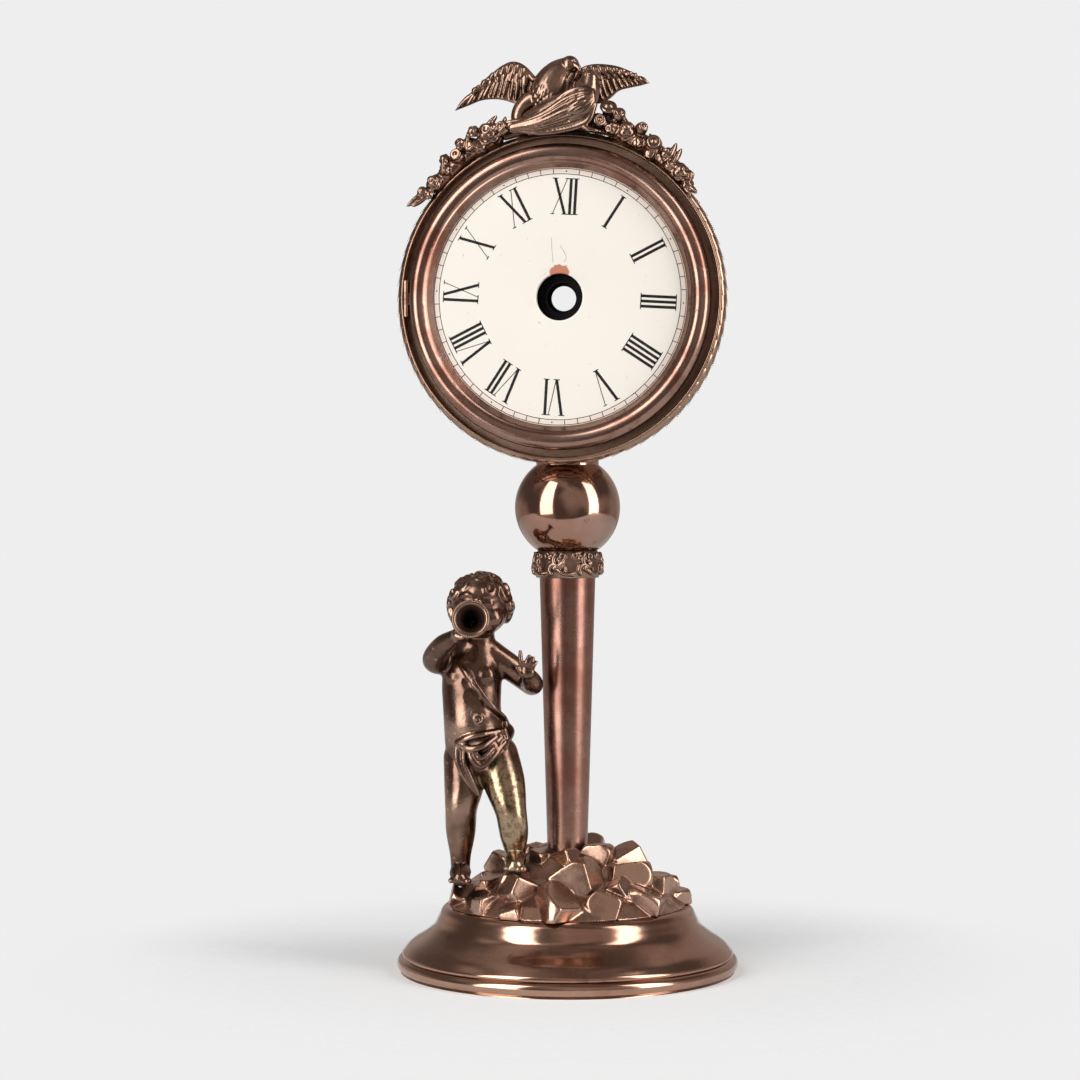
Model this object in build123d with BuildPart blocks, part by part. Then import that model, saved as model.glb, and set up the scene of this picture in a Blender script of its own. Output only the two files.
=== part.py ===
"""Mystery clock: a round spring clock on a ball and a column, with a cherub and doves.

Millimetres. The origin is the middle of the foot on the ground, +Z is up and the dial faces -Y.
"""

import os
from math import acos, atan2, cos, degrees, pi, radians, sin, sqrt, tan

from build123d import *

os.makedirs("parts", exist_ok=True)

UPWARD = (Align.CENTER, Align.CENTER, Align.MIN)

# fits
RUNNING = 0.05
SEAT_GAP = 0.3

# foot and mound; heights on the mound count from the top of the foot
FOOT_R = 59.8
FOOT_H = 23.0
FOOT_TOP_R = 42.8
FOOT_WALL = 1.6
MOUND_R = FOOT_TOP_R - 1.3
MOUND_H = 20.0
MOUND_TOP = FOOT_H + MOUND_H
# boulders: angle round the mound, distance in from its edge, height above the foot and size
BOULDERS = (
    (-172, 5.5, 4.0, 9.0), (-150, 12.0, 7.6, 9.5), (-130, 4.5, 2.6, 9.5), (-114, 12.5, 8.2, 14.5),
    (-109, 3.0, 0.8, 8.5), (-87, 6.0, 2.6, 15.0), (-75.5, 17.5, 10.6, 17.5), (-58.6, 7.0, 3.6, 13.5),
    (-46, 12.5, 7.2, 10.0), (-31.6, 6.5, 3.0, 14.0), (-21, 17.0, 10.8, 15.5), (-5, 9.5, 7.0, 11.5),
    (6, 4.0, 1.6, 9.0), (30, 6.2, 3.6, 13.5), (60, 6.2, 3.6, 13.5), (90, 6.2, 3.6, 13.5),
    (120, 6.2, 3.6, 13.5), (150, 6.2, 3.6, 13.5), (45, 16.0, 10.6, 13.5), (84, 16.0, 10.6, 13.5),
    (122, 16.0, 10.6, 13.5), (153, 16.0, 10.6, 13.0), (176, 17.5, 13.0, 10.5), (8, 20.5, 14.6, 11.5),
    (-125, 28.5, 17.0, 8.5), (-83, 29.0, 17.2, 10.0), (-24, 29.0, 17.4, 10.5), (62, 27.0, 16.2, 11.0),
    (118, 27.0, 16.2, 11.0), (168, 27.0, 16.2, 10.0),
)
RIGHT_PAD = (-35.0, -16.0, FOOT_H + 8.2)
LEFT_PAD = (-14.6, -21.0, FOOT_H + 13.6)
PAD_R = 7.0

# column, collar and ball, each standing on the one below
COLUMN_Z = MOUND_TOP - 1.0
COLUMN_L = 95.6
COLUMN_TOP = COLUMN_Z + COLUMN_L
COLUMN_R = (7.0, 9.75)
COLUMN_WALL = 1.4
COLLAR_H = 9.8
COLLAR_TOP = COLUMN_TOP + COLLAR_H
COLLAR_R = 12.6
BALL_R = 18.4
BALL_WALL = 1.2
BALL_FLATS = (3.6, 6.0)
BALL_Z = COLLAR_TOP + BALL_R - BALL_FLATS[0]
BALL_TOP = BALL_Z + BALL_R - BALL_FLATS[1]
ROD_R = 2.5
ROD_LOW = FOOT_H - 8.0
ROD_HIGH = BALL_TOP + 6.2

# drum
SHELL_R = 52.5
SHELL_WALL = 1.3
SHELL_BACK = 19.0
FLANGE_FRONT = -15.2
FLANGE_T = 1.2
FLANGE_R = 42.5
REAR_LIP_R = SHELL_R - 3.3
BORDER_R = SHELL_R + 5.2
BORDER_FRONT = FLANGE_FRONT - 1.4
BORDER_BACK = BORDER_FRONT + 8.1
GROOVE_R = SHELL_R + 2.5
GROOVE_FLOOR = FLANGE_FRONT + 2.0
BEZEL_R = SHELL_R + 0.1
SIGHT_R = BEZEL_R - 8.2
DIAL_R = SIGHT_R + 2.1
DIAL_T = 1.8
DIAL_FRONT = FLANGE_FRONT - DIAL_T
DIAL_HOLE_R = 8.05
DIAL_FOOT_R = DIAL_R - 2.3
NECK_H = 2.3
DRUM_BOTTOM = BALL_TOP + NECK_H
DRUM_Z = DRUM_BOTTOM + BORDER_R

# hinges
BEZEL_PIVOT = (-BEZEL_R - 1.25, DIAL_FRONT - 0.3)
DOOR_PIVOT = (-SHELL_R - 1.4, SHELL_BACK + 1.05)
KNUCKLE_R = 0.95
KNUCKLE_H = 4.0
PIN_R = 0.42
DOOR_R = SHELL_R - 0.9
DOOR_T = 1.2

# movement: depths of the plates and places of the arbors, right and up from the drum's axis
PLATE_R = SHELL_R - SHELL_WALL - 2.9
PLATE_T = 1.5
FRONT_PLATE = -7.0
BACK_PLATE = 9.0
PILLAR_AT = (PLATE_R - 3.3, (50, 140, 245, 320))
POST_AT = (PLATE_R - 1.9, (90, 210, 330))
PIVOT_R = 0.55
STAFF_PIVOT_R = 0.4
ARBOR_R = 0.8
TUBE_R = 6.2
TUBE_APERTURE = 4.3
PIPE_R = 7.0
HOUR_PIPE_R = 7.75
BARREL_ARBOR_R = 2.5

# gears
PRESSURE = radians(25)
ADDENDUM = 0.8
DEDENDUM = 1.15
TOOTH_SHARE = 0.46
CENTRE_T, CENTRE_M = 80, 0.5
CANNON_T, CANNON_M = 36, 0.45
DRIVE_T = 72
GREAT_T, GREAT_M = 72, 0.5
INTER_LEAF = 12
LEAF = 10
THIRD_T, THIRD_M = 75, 0.38
FOURTH_T, FOURTH_M = 80, 0.3
HOUR_T, HOUR_LEAF = 72, 12
ESCAPE_T, ESCAPE_R = 15, 6.0
RATCHET_T, RATCHET_R = 24, 8.0


def reach(teeth_a, teeth_b, module):
    """Distance between the arbors of two gears in mesh."""
    return (teeth_a + teeth_b) * module / 2


def polar(distance, angle):
    """Point at a distance and an angle in degrees."""
    return (distance * cos(radians(angle)), distance * sin(radians(angle)))


def shifted(place, distance, angle):
    """Point at a distance and an angle from another point."""
    du, dv = polar(distance, angle)
    return (place[0] + du, place[1] + dv)


MOTION_REACH = reach(CANNON_T, DRIVE_T, CANNON_M)
HOUR_M = 2 * MOTION_REACH / (HOUR_T + HOUR_LEAF)
BARREL_AT = 215
BARREL_REACH = 30.0
BARREL = polar(BARREL_REACH, BARREL_AT)
INTER_REACH = reach(GREAT_T, INTER_LEAF, GREAT_M)
INTER_TURN = degrees(
    acos((BARREL_REACH**2 + MOTION_REACH**2 - INTER_REACH**2) / (2 * BARREL_REACH * MOTION_REACH))
)
INTER = polar(MOTION_REACH, BARREL_AT + INTER_TURN)
THIRD = polar(reach(CENTRE_T, LEAF, CENTRE_M), 340)
FOURTH = shifted(THIRD, reach(THIRD_T, LEAF, THIRD_M), 80)
ESCAPE = shifted(FOURTH, reach(FOURTH_T, LEAF, FOURTH_M), 110)
LEVER = shifted(ESCAPE, 8.5, 150)
BALANCE = shifted(LEVER, 12.0, 165)
MOTION = polar(MOTION_REACH, 130)
CLICK = shifted(BARREL, 13.0, 95)
BRIDGE_POSTS = (shifted(ESCAPE, 8.4, 8), shifted(BALANCE, 12.2, 172))

DRUM_AXIS = Axis((0, 0, DRUM_Z), (0, 1, 0))
DRUM_SECTION = Plane.XY.offset(DRUM_Z)


def facing(u, v, y):
    """Plane square to the drum's axis at depth y, with u to the right and v up from that axis."""
    return Plane(origin=(u, y, DRUM_Z + v), x_dir=(1, 0, 0), z_dir=(0, -1, 0))


def rod(place, y_front, y_back, radius, mode=Mode.ADD):
    """Cylinder along the drum's axis direction between two depths."""
    with Locations(facing(*place, y_back)):
        Cylinder(radius, y_back - y_front, align=UPWARD, mode=mode)


def post(x, y, z_low, z_high, radius, mode=Mode.ADD):
    """Upright cylinder between two heights."""
    with Locations((x, y, z_low)):
        Cylinder(radius, z_high - z_low, align=UPWARD, mode=mode)


def involute(angle):
    """Involute function."""
    return tan(angle) - angle


def gear(teeth, module, phase):
    """Face of a gear whose first tooth points at the phase angle, in radians."""
    pitch = teeth * module / 2
    base = pitch * cos(PRESSURE)
    root = pitch - DEDENDUM * module
    tip = pitch + ADDENDUM * module
    foot = max(base, root)
    spread = TOOTH_SHARE * pi / teeth + involute(PRESSURE)
    flank = [(root, spread - involute(acos(base / foot)))]
    for radius in (foot, (foot + pitch) / 2, pitch, (pitch + tip) / 2, tip):
        if radius > root:
            flank.append((radius, spread - involute(acos(base / radius))))
    points = []
    for tooth in range(teeth):
        middle = phase + 2 * pi * tooth / teeth
        points += [(r * cos(middle - a), r * sin(middle - a)) for r, a in flank]
        points += [(r * cos(middle + a), r * sin(middle + a)) for r, a in reversed(flank)]
    with BuildSketch() as face:
        with BuildLine():
            Polyline(*points, close=True)
        make_face()
    return face.sketch


def meshed(teeth_a, phase_a, place_a, teeth_b, place_b):
    """Phase of gear b that puts its gaps round the teeth of gear a."""
    line = atan2(place_b[1] - place_a[1], place_b[0] - place_a[0])
    share_a = (line - phase_a) * teeth_a / (2 * pi)
    return line + pi - (0.5 - share_a) * 2 * pi / teeth_b


def spoked(teeth, module, phase, hub, bore, spoke):
    """Face of a gear wheel with a rim, four spokes, a hub and a bore."""
    rim = teeth * module / 2 - 2.6 * module - 0.6
    with BuildSketch() as face:
        add(gear(teeth, module, phase))
        Circle(rim, mode=Mode.SUBTRACT)
        for turn in (45, 135):
            Rectangle(2 * rim + 0.4, spoke, rotation=turn)
        Circle(hub)
        Circle(bore, mode=Mode.SUBTRACT)
    return face.sketch


def sawn(teeth, tip, root, lean):
    """Face of a wheel with leaning teeth."""
    points = []
    for tooth in range(teeth):
        start = 360 * tooth / teeth
        step = 360 / teeth
        points.append(polar(root, start))
        points.append(polar(tip, start + lean * step))
        points.append(polar(tip, start + (lean + 0.12) * step))
        points.append(polar(root, start + (lean + 0.2) * step))
    with BuildSketch() as face:
        with BuildLine():
            Polyline(*points, close=True)
        make_face()
    return face.sketch


def spiral(radius, half_pitch, half_turns, strip):
    """Face of a spiral strip made of half circles."""
    outward = []
    inward = []
    for turn in range(half_turns):
        middle = half_pitch * (turn % 2)
        side = 1 if turn % 2 == 0 else -1
        for path, edge in ((outward, strip / 2), (inward, -strip / 2)):
            arc = radius + turn * half_pitch + edge
            path.append(((middle + side * arc, 0), (middle, side * arc), (middle - side * arc, 0)))
    with BuildSketch() as face:
        with BuildLine():
            for start, middle, end in outward + inward:
                ThreePointArc(start, middle, end)
            Line(outward[0][0], inward[0][0])
            Line(outward[-1][2], inward[-1][2])
        make_face()
    return face.sketch


def bars(*ends):
    """Face of arms with round ends: pairs of (place, radius)."""
    with BuildSketch() as face:
        for arm in ends:
            with BuildSketch(mode=Mode.PRIVATE) as bar:
                for place, radius in arm:
                    with Locations(place):
                        Circle(radius)
                make_hull()
            add(bar.sketch)
    return face.sketch


def limb(points, radii, waist=0.97):
    """Round limb: a ball at every joint and a slimmer cone between each two."""
    for start, end, low, high in zip(points, points[1:], radii, radii[1:]):
        axis = Vector(*end) - Vector(*start)
        with Locations(Plane(origin=start, z_dir=axis)):
            if abs(low - high) < 0.01:
                Cylinder(waist * low, axis.length, align=UPWARD)
            else:
                Cone(waist * low, waist * high, axis.length, align=UPWARD)
    ways = [Vector(*end) - Vector(*start) for start, end in zip(points, points[1:])]
    for place, way, radius in zip(points, ways + ways[-1:], radii):
        with Locations(Plane(origin=place, z_dir=way)):
            Sphere(radius)


def save(builder, label):
    """Name a part and write it to its file."""
    builder.part.label = label
    export_step(builder.part, f"parts/{label}.step")


# foot: a spun shell with an ogee side and a stepped rim
with BuildPart() as base_foot:
    with BuildSketch(Plane.XZ):
        with BuildLine():
            Polyline((FOOT_R - 2.8, 0), (FOOT_R - 0.8, 0), (FOOT_R - 0.4, 1.0))
            ThreePointArc((FOOT_R - 0.4, 1.0), (FOOT_R, 2.8), (FOOT_R - 1.6, 5.2))
            Polyline((FOOT_R - 1.6, 5.2), (FOOT_R - 2.3, 5.4), (FOOT_R - 2.3, 5.9))
            Polyline((FOOT_R - 2.3, 5.9), (FOOT_R - 1.8, 6.1), (FOOT_R - 1.9, 6.7))
            Spline(
                (FOOT_R - 1.9, 6.7),
                (FOOT_R - 4.9, 10.2),
                (FOOT_R - 9.6, 13.0),
                (FOOT_TOP_R + 4.0, FOOT_H - 7.3),
                (FOOT_TOP_R + 2.4, FOOT_H - 4.4),
                (FOOT_TOP_R + 0.7, FOOT_H - 1.0),
            )
            Polyline(
                (FOOT_TOP_R + 0.7, FOOT_H - 1.0),
                (FOOT_TOP_R, FOOT_H),
                (ROD_R + SEAT_GAP, FOOT_H),
                (ROD_R + SEAT_GAP, FOOT_H - FOOT_WALL),
                (FOOT_TOP_R - 1.2, FOOT_H - FOOT_WALL),
                (FOOT_TOP_R + 0.6, FOOT_H - 5.0),
                (FOOT_TOP_R + 2.6, FOOT_H - 8.8),
                (FOOT_R - 10.4, 11.2),
                (FOOT_R - 6.4, 8.6),
                (FOOT_R - 4.0, 5.6),
                (FOOT_R - 2.8, 3.2),
                (FOOT_R - 2.8, 0),
            )
        make_face()
    revolve(axis=Axis.Z)
save(base_foot, "base_foot")

# column: a thin tube that widens upward
with BuildPart() as column:
    with BuildSketch(Plane.XZ):
        with BuildLine():
            Polyline(
                (COLUMN_R[0] - COLUMN_WALL, COLUMN_Z),
                (COLUMN_R[0], COLUMN_Z),
                (COLUMN_R[1], COLUMN_TOP),
                (COLUMN_R[1] - COLUMN_WALL, COLUMN_TOP),
                close=True,
            )
        make_face()
    revolve(axis=Axis.Z)
save(column, "column")

# collar: a bulging cup with a floor
with BuildPart() as collar:
    with BuildSketch(Plane.XZ):
        with BuildLine():
            Polyline((ROD_R + SEAT_GAP, COLUMN_TOP), (9.9, COLUMN_TOP), (10.3, COLUMN_TOP + 1.2))
            Spline(
                (10.3, COLUMN_TOP + 1.2),
                (12.0, COLUMN_TOP + 3.4),
                (COLLAR_R, COLUMN_TOP + 6.2),
                (11.9, COLLAR_TOP - 1.2),
            )
            Polyline(
                (11.9, COLLAR_TOP - 1.2),
                (11.4, COLLAR_TOP),
                (9.6, COLLAR_TOP),
                (9.6, COLUMN_TOP + 2.4),
                (ROD_R + SEAT_GAP, COLUMN_TOP + 2.4),
                (ROD_R + SEAT_GAP, COLUMN_TOP),
            )
        make_face()
    revolve(axis=Axis.Z)
save(collar, "collar")

# ball: a hollow sphere cut flat where it stands and where it carries the saddle
with BuildPart() as ball:
    with Locations((0, 0, BALL_Z)):
        Sphere(BALL_R)
        Sphere(BALL_R - BALL_WALL, mode=Mode.SUBTRACT)
    split(bisect_by=Plane.XY.offset(COLLAR_TOP), keep=Keep.TOP)
    split(bisect_by=Plane.XY.offset(BALL_TOP), keep=Keep.BOTTOM)
save(ball, "ball")

# saddle: rounds off the ball and cups the drum behind its border
SADDLE_R = 12.4
NECK_TOP = DRUM_BOTTOM - 0.2
NECK_MIDDLE = (BALL_TOP + NECK_TOP) / 2
SCREW_R = 1.2
SADDLE_SCREWS = ((-7.0, 4.0), (7.0, 4.0))
SCREW_SEAT = DRUM_Z - SHELL_R + SHELL_WALL + 1.0


def on_ball(z):
    """Point on the ball's outline at a height."""
    return sqrt(BALL_R**2 - (z - BALL_Z) ** 2), z


with BuildPart() as saddle:
    with BuildSketch(Plane.XZ):
        with BuildLine():
            ThreePointArc(on_ball(BALL_TOP), on_ball(NECK_MIDDLE), on_ball(NECK_TOP))
            Polyline(on_ball(NECK_TOP), (0, NECK_TOP), (0, BALL_TOP), on_ball(BALL_TOP))
        make_face()
    revolve(axis=Axis.Z)
    with BuildSketch(Plane.XY.offset(NECK_TOP)):
        Circle(SADDLE_R)
        with Locations((0, BORDER_BACK - 9.7)):
            Rectangle(40, 20, mode=Mode.SUBTRACT)
    extrude(amount=8)
    with Locations(facing(0, 0, 30)):
        Cylinder(SHELL_R, 60, align=UPWARD, mode=Mode.SUBTRACT)
    post(0, 0, BALL_TOP, ROD_HIGH + SEAT_GAP, ROD_R + RUNNING, mode=Mode.SUBTRACT)
    for x, y in SADDLE_SCREWS:
        post(x, y, DRUM_BOTTOM + 0.6, DRUM_Z, SCREW_R + RUNNING, mode=Mode.SUBTRACT)
save(saddle, "saddle")

with BuildPart() as saddle_screws:
    for x, y in SADDLE_SCREWS:
        post(x, y, DRUM_BOTTOM + 0.8, SCREW_SEAT + 0.2, SCREW_R)
        post(x, y, SCREW_SEAT, SCREW_SEAT + 1.2, 2.1)
save(saddle_screws, "saddle_screws")

# rod, washer and nut that hold the stand together
with BuildPart() as tie_rod:
    post(0, 0, ROD_LOW, ROD_HIGH, ROD_R)
save(tie_rod, "tie_rod")

with BuildPart() as tie_rod_washer:
    post(0, 0, FOOT_H - FOOT_WALL - 1.2, FOOT_H - FOOT_WALL, 9.0)
    post(0, 0, 0, FOOT_H, ROD_R + RUNNING, mode=Mode.SUBTRACT)
save(tie_rod_washer, "tie_rod_washer")

with BuildPart() as tie_rod_nut:
    with BuildSketch(Plane.XY.offset(FOOT_H - FOOT_WALL - 1.2)):
        RegularPolygon(4.6, 6)
        Circle(ROD_R + RUNNING, mode=Mode.SUBTRACT)
    extrude(amount=-4.0)
save(tie_rod_nut, "tie_rod_nut")


def boulder(size, spread):
    """Chamfered block; spread makes it longer or shorter."""
    with BuildPart() as block:
        Box(size * (1.1 + 0.25 * spread), size * (0.95 - 0.15 * spread), size * (0.85 + 0.12 * spread))
        chamfer(block.edges(), 0.17 * size)
    return block.part


# mound: a hollow dome with boulders and a flat pad under each foot of the figure
with BuildPart() as rock_mound:
    with BuildSketch(Plane.XZ):
        with BuildLine():
            Polyline(
                (0, FOOT_H),
                (MOUND_R, FOOT_H),
                (MOUND_R - 4.0, FOOT_H + 5.0),
                (MOUND_R - 10.0, FOOT_H + 9.0),
                (MOUND_R - 17.5, FOOT_H + 12.5),
                (14.0, MOUND_TOP - 2.0),
                (9.5, MOUND_TOP),
                (0, MOUND_TOP),
                close=True,
            )
        make_face()
    revolve(axis=Axis.Z)
    for k, (turn, inset, rise, size) in enumerate(BOULDERS):
        wave = sin(1.7 * k)
        place = (*polar(MOUND_R - inset, turn), FOOT_H + rise)
        with Locations(Location(place, (18 * wave, 24 * sin(2.9 * k), turn + 40 * wave))):
            add(boulder(size, wave))
    for x, y, top in (RIGHT_PAD, LEFT_PAD):
        post(x, y, top, top + 30, PAD_R + 2.5, mode=Mode.SUBTRACT)
        with Locations((x, y, top - 8)):
            Cone(PAD_R + 1.5, PAD_R, 8, align=UPWARD)
    with BuildSketch(Plane.XZ):
        with BuildLine():
            Polyline(
                (0, 0),
                (MOUND_R - 4.5, 0),
                (MOUND_R - 4.5, FOOT_H),
                (MOUND_R - 9.5, FOOT_H + 3.5),
                (MOUND_R - 21.5, FOOT_H + 8.0),
                (7.0, MOUND_TOP - 7.0),
                (0, MOUND_TOP - 7.0),
                close=True,
            )
        make_face()
    revolve(axis=Axis.Z, mode=Mode.SUBTRACT)
    with BuildSketch(Plane.XY.offset(FOOT_H)):
        Circle(80)
        Circle(FOOT_TOP_R - 0.4, mode=Mode.SUBTRACT)
    extrude(amount=3.2, mode=Mode.SUBTRACT)
    post(0, 0, 0, FOOT_H, 80, mode=Mode.SUBTRACT)
    post(0, 0, COLUMN_Z, 80, COLUMN_R[0] + 0.35, mode=Mode.SUBTRACT)
    post(0, 0, 0, COLUMN_Z, ROD_R + SEAT_GAP, mode=Mode.SUBTRACT)
    for x, y, top in (RIGHT_PAD, LEFT_PAD):
        post(x, y, 0, top, 1.0 + RUNNING, mode=Mode.SUBTRACT)
        post(x, y, 0, top - 4.0, 2.6, mode=Mode.SUBTRACT)
save(rock_mound, "rock_mound")

with BuildPart() as figure_screws:
    for x, y, top in (RIGHT_PAD, LEFT_PAD):
        post(x, y, top - 4.5, top + 2.6, 1.0)
        post(x, y, top - 5.2, top - 4.0, 2.0)
save(figure_screws, "figure_screws")

# horn: a flared tube, its bell to the front
HORN_MOUTH = Vector(-28.4, -25.6, FOOT_H + 98.6)
HORN_BELL = Vector(-24.9, -47.0, FOOT_H + 102.2)
HORN_BELL_R = 6.3
HORN_AXIS = HORN_BELL - HORN_MOUTH
HORN_L = HORN_AXIS.length
HORN_SIDE = (
    (1.7, 0),
    (1.9, 0.3 * HORN_L),
    (2.7, 0.62 * HORN_L),
    (4.3, 0.86 * HORN_L),
    (HORN_BELL_R, HORN_L),
)
HORN_PLANE = Plane(origin=HORN_MOUTH, z_dir=HORN_AXIS)


def horn_body(inset, mode):
    """Turned body of the horn, smaller all round by the inset."""
    with BuildSketch() as side:
        with BuildLine():
            Spline(*((r - inset, z) for r, z in HORN_SIDE))
            Polyline((HORN_BELL_R - inset, HORN_L), (0, HORN_L), (0, 0), (HORN_SIDE[0][0] - inset, 0))
        make_face()
    with BuildPart() as turned:
        revolve(Plane.XZ * side.sketch, axis=Axis.Z)
    add(HORN_PLANE * turned.part, mode=mode)


with BuildPart() as horn:
    horn_body(0, Mode.ADD)
    horn_body(0.7, Mode.SUBTRACT)
save(horn, "horn")

# figure: rounded trunk, head and limbs, at heights above the foot, fitted to horn, column and pads
with BuildPart() as cherub_figure:
    with Locations((0, 0, FOOT_H)):
        limb(
            (
                (-29.0, -13.5, 51.0),
                (-29.8, -14.5, 60.0),
                (-30.6, -15.0, 67.0),
                (-30.6, -13.8, 78.0),
                (-29.6, -13.5, 83.0),
            ),
            (10.4, 10.2, 10.6, 9.6, 8.4),
        )
        limb(((-29.0, -13.5, 87.0), (-28.2, -14.5, 95.0)), (5.0, 5.0))
        with Locations((-28.2, -14.4, 105.4)):
            Sphere(11.3)
        limb(((-28.2, -19.5, 101.0), (-28.2, -21.0, 97.5)), (6.4, 4.4))
        limb(
            ((-37.4, -13.5, 84.0), (-44.6, -20.0, 85.4), (-38.6, -29.0, 91.6), (-30.9, -35.0, 96.2)),
            (5.2, 4.6, 3.9, 3.3),
        )
        limb(((-22.4, -13.0, 86.2), (-10.4, -8.8, 77.6), (-10.8, -15.0, 81.2)), (5.2, 4.3, 3.5))
        limb(((-10.8, -15.0, 81.2), (-11.4, -19.4, 85.2)), (3.4, 2.9))
        for finger in range(4):
            tip = 1.9 * finger
            limb(((-13.4 + tip, -19.6, 85.8), (-13.8 + tip, -20.4, 90.6 - 0.9 * tip)), (1.1, 0.9))
        limb(
            ((-34.0, -14.0, 49.0), (-34.9, -17.0, 33.0), (-35.6, -13.4, 23.5), (-35.8, -13.4, 15.5)),
            (7.4, 5.6, 5.0, 3.7),
        )
        limb(((-35.8, -12.4, 11.6), (-34.0, -20.6, 10.2)), (3.7, 3.0))
        limb(
            ((-23.2, -13.0, 49.0), (-17.0, -20.0, 35.0), (-15.6, -17.6, 27.0), (-15.6, -17.6, 20.0)),
            (7.4, 5.5, 4.8, 3.6),
        )
        limb(((-15.6, -17.0, 16.8), (-13.6, -25.0, 15.4)), (3.6, 2.9))
        limb(((-36.0, -20.4, 61.0), (-29.0, -23.0, 56.0), (-22.6, -21.0, 59.0)), (3.2, 3.6, 3.2))
        limb(((-31.4, -22.6, 57.0), (-29.6, -22.4, 43.4)), (4.2, 2.2), 0.9)
    horn_body(0, Mode.SUBTRACT)
    with BuildSketch(Plane.XZ):
        with BuildLine():
            Polyline(
                (0, COLUMN_Z),
                (COLUMN_R[0], COLUMN_Z),
                (COLUMN_R[1], COLUMN_TOP),
                (0, COLUMN_TOP),
                close=True,
            )
        make_face()
    revolve(axis=Axis.Z, mode=Mode.SUBTRACT)
    for x, y, top in (RIGHT_PAD, LEFT_PAD):
        post(x, y, top - 14, top, 2 * PAD_R, mode=Mode.SUBTRACT)
        post(x, y, top - 1, top + 2.8, 1.0 + RUNNING, mode=Mode.SUBTRACT)
save(cherub_figure, "cherub_figure")

# drum: shell with a front flange and a rear lip
CREST_SCREWS = (120, 60)
CREST_SCREW_Y = BORDER_FRONT + 5.0
FLANGE_BACK = FLANGE_FRONT + FLANGE_T


def radial_screw(angle, low, high, radius, mode=Mode.ADD):
    """Cylinder that points straight out from the drum's axis."""
    out = Vector(cos(radians(angle)), 0, sin(radians(angle)))
    with Locations(Plane(origin=Vector(0, CREST_SCREW_Y, DRUM_Z) + out * low, z_dir=out)):
        Cylinder(radius, high - low, align=UPWARD, mode=mode)


with BuildPart() as drum_shell:
    with BuildSketch(DRUM_SECTION):
        with BuildLine():
            Polyline(
                (FLANGE_R, FLANGE_FRONT),
                (SHELL_R, FLANGE_FRONT),
                (SHELL_R, SHELL_BACK),
                (REAR_LIP_R, SHELL_BACK),
                (REAR_LIP_R, SHELL_BACK - 1.2),
                (SHELL_R - SHELL_WALL, SHELL_BACK - 1.2),
                (SHELL_R - SHELL_WALL, FLANGE_BACK),
                (FLANGE_R, FLANGE_BACK),
                close=True,
            )
        make_face()
    revolve(axis=DRUM_AXIS)
    for x, y in SADDLE_SCREWS:
        post(x, y, DRUM_Z - BORDER_R, DRUM_Z - 40, SCREW_R + RUNNING, mode=Mode.SUBTRACT)
    for angle in CREST_SCREWS:
        radial_screw(angle, SHELL_R - 4, SHELL_R + 4, 1.0 + RUNNING, mode=Mode.SUBTRACT)
    for angle in (30, 150, 270):
        rod(polar(DIAL_FOOT_R, angle), DIAL_FRONT, FLANGE_BACK + 1, 0.8 + RUNNING, mode=Mode.SUBTRACT)
save(drum_shell, "drum_shell")

with BuildPart() as drum_border:
    with BuildSketch(DRUM_SECTION):
        with BuildLine():
            Polyline(
                (GROOVE_R + 0.8, BORDER_FRONT),
                (GROOVE_R, BORDER_FRONT),
                (GROOVE_R, GROOVE_FLOOR),
                (SHELL_R, GROOVE_FLOOR),
                (SHELL_R, BORDER_BACK),
                (BORDER_R - 0.8, BORDER_BACK),
            )
            ThreePointArc(
                (BORDER_R - 0.8, BORDER_BACK),
                (BORDER_R, (BORDER_BACK + BORDER_FRONT) / 2),
                (BORDER_R - 0.8, BORDER_FRONT + 0.6),
            )
            Line((BORDER_R - 0.8, BORDER_FRONT + 0.6), (GROOVE_R + 0.8, BORDER_FRONT))
        make_face()
    revolve(axis=DRUM_AXIS)
    for angle in CREST_SCREWS:
        radial_screw(angle, SHELL_R - 4, BORDER_R + 2, 1.0 + RUNNING, mode=Mode.SUBTRACT)
save(drum_border, "drum_border")

with BuildPart() as crest_screws:
    for angle in CREST_SCREWS:
        radial_screw(angle, SHELL_R - 1.9, BORDER_R + 3.3, 1.0)
        radial_screw(angle, SHELL_R - 2.6, SHELL_R - 1.45, 1.9)
save(crest_screws, "crest_screws")

# dial and its feet
with BuildPart() as dial:
    rod((0, 0), DIAL_FRONT, FLANGE_FRONT, DIAL_R)
    rod((0, 0), DIAL_FRONT - 1, FLANGE_FRONT + 1, DIAL_HOLE_R, mode=Mode.SUBTRACT)
save(dial, "dial")

with BuildPart() as dial_feet:
    for angle in (30, 150, 270):
        rod(polar(DIAL_FOOT_R, angle), FLANGE_FRONT, FLANGE_BACK + 1.4, 0.8)
save(dial_feet, "dial_feet")


def hinge_eye(pivot, low, high, tab_x, tab_y):
    """Hinge eye on an upright pivot with a tab to the given corner."""
    x_low, x_high = sorted((pivot[0], tab_x))
    y_low, y_high = sorted(tab_y)
    with Locations((x_low, y_low, DRUM_Z + low)):
        Box(x_high - x_low, y_high - y_low, high - low, align=(Align.MIN, Align.MIN, Align.MIN))
    post(*pivot, DRUM_Z + low, DRUM_Z + high, KNUCKLE_R)
    post(*pivot, DRUM_Z + low - 1, DRUM_Z + high + 1, PIN_R + RUNNING, mode=Mode.SUBTRACT)


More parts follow.
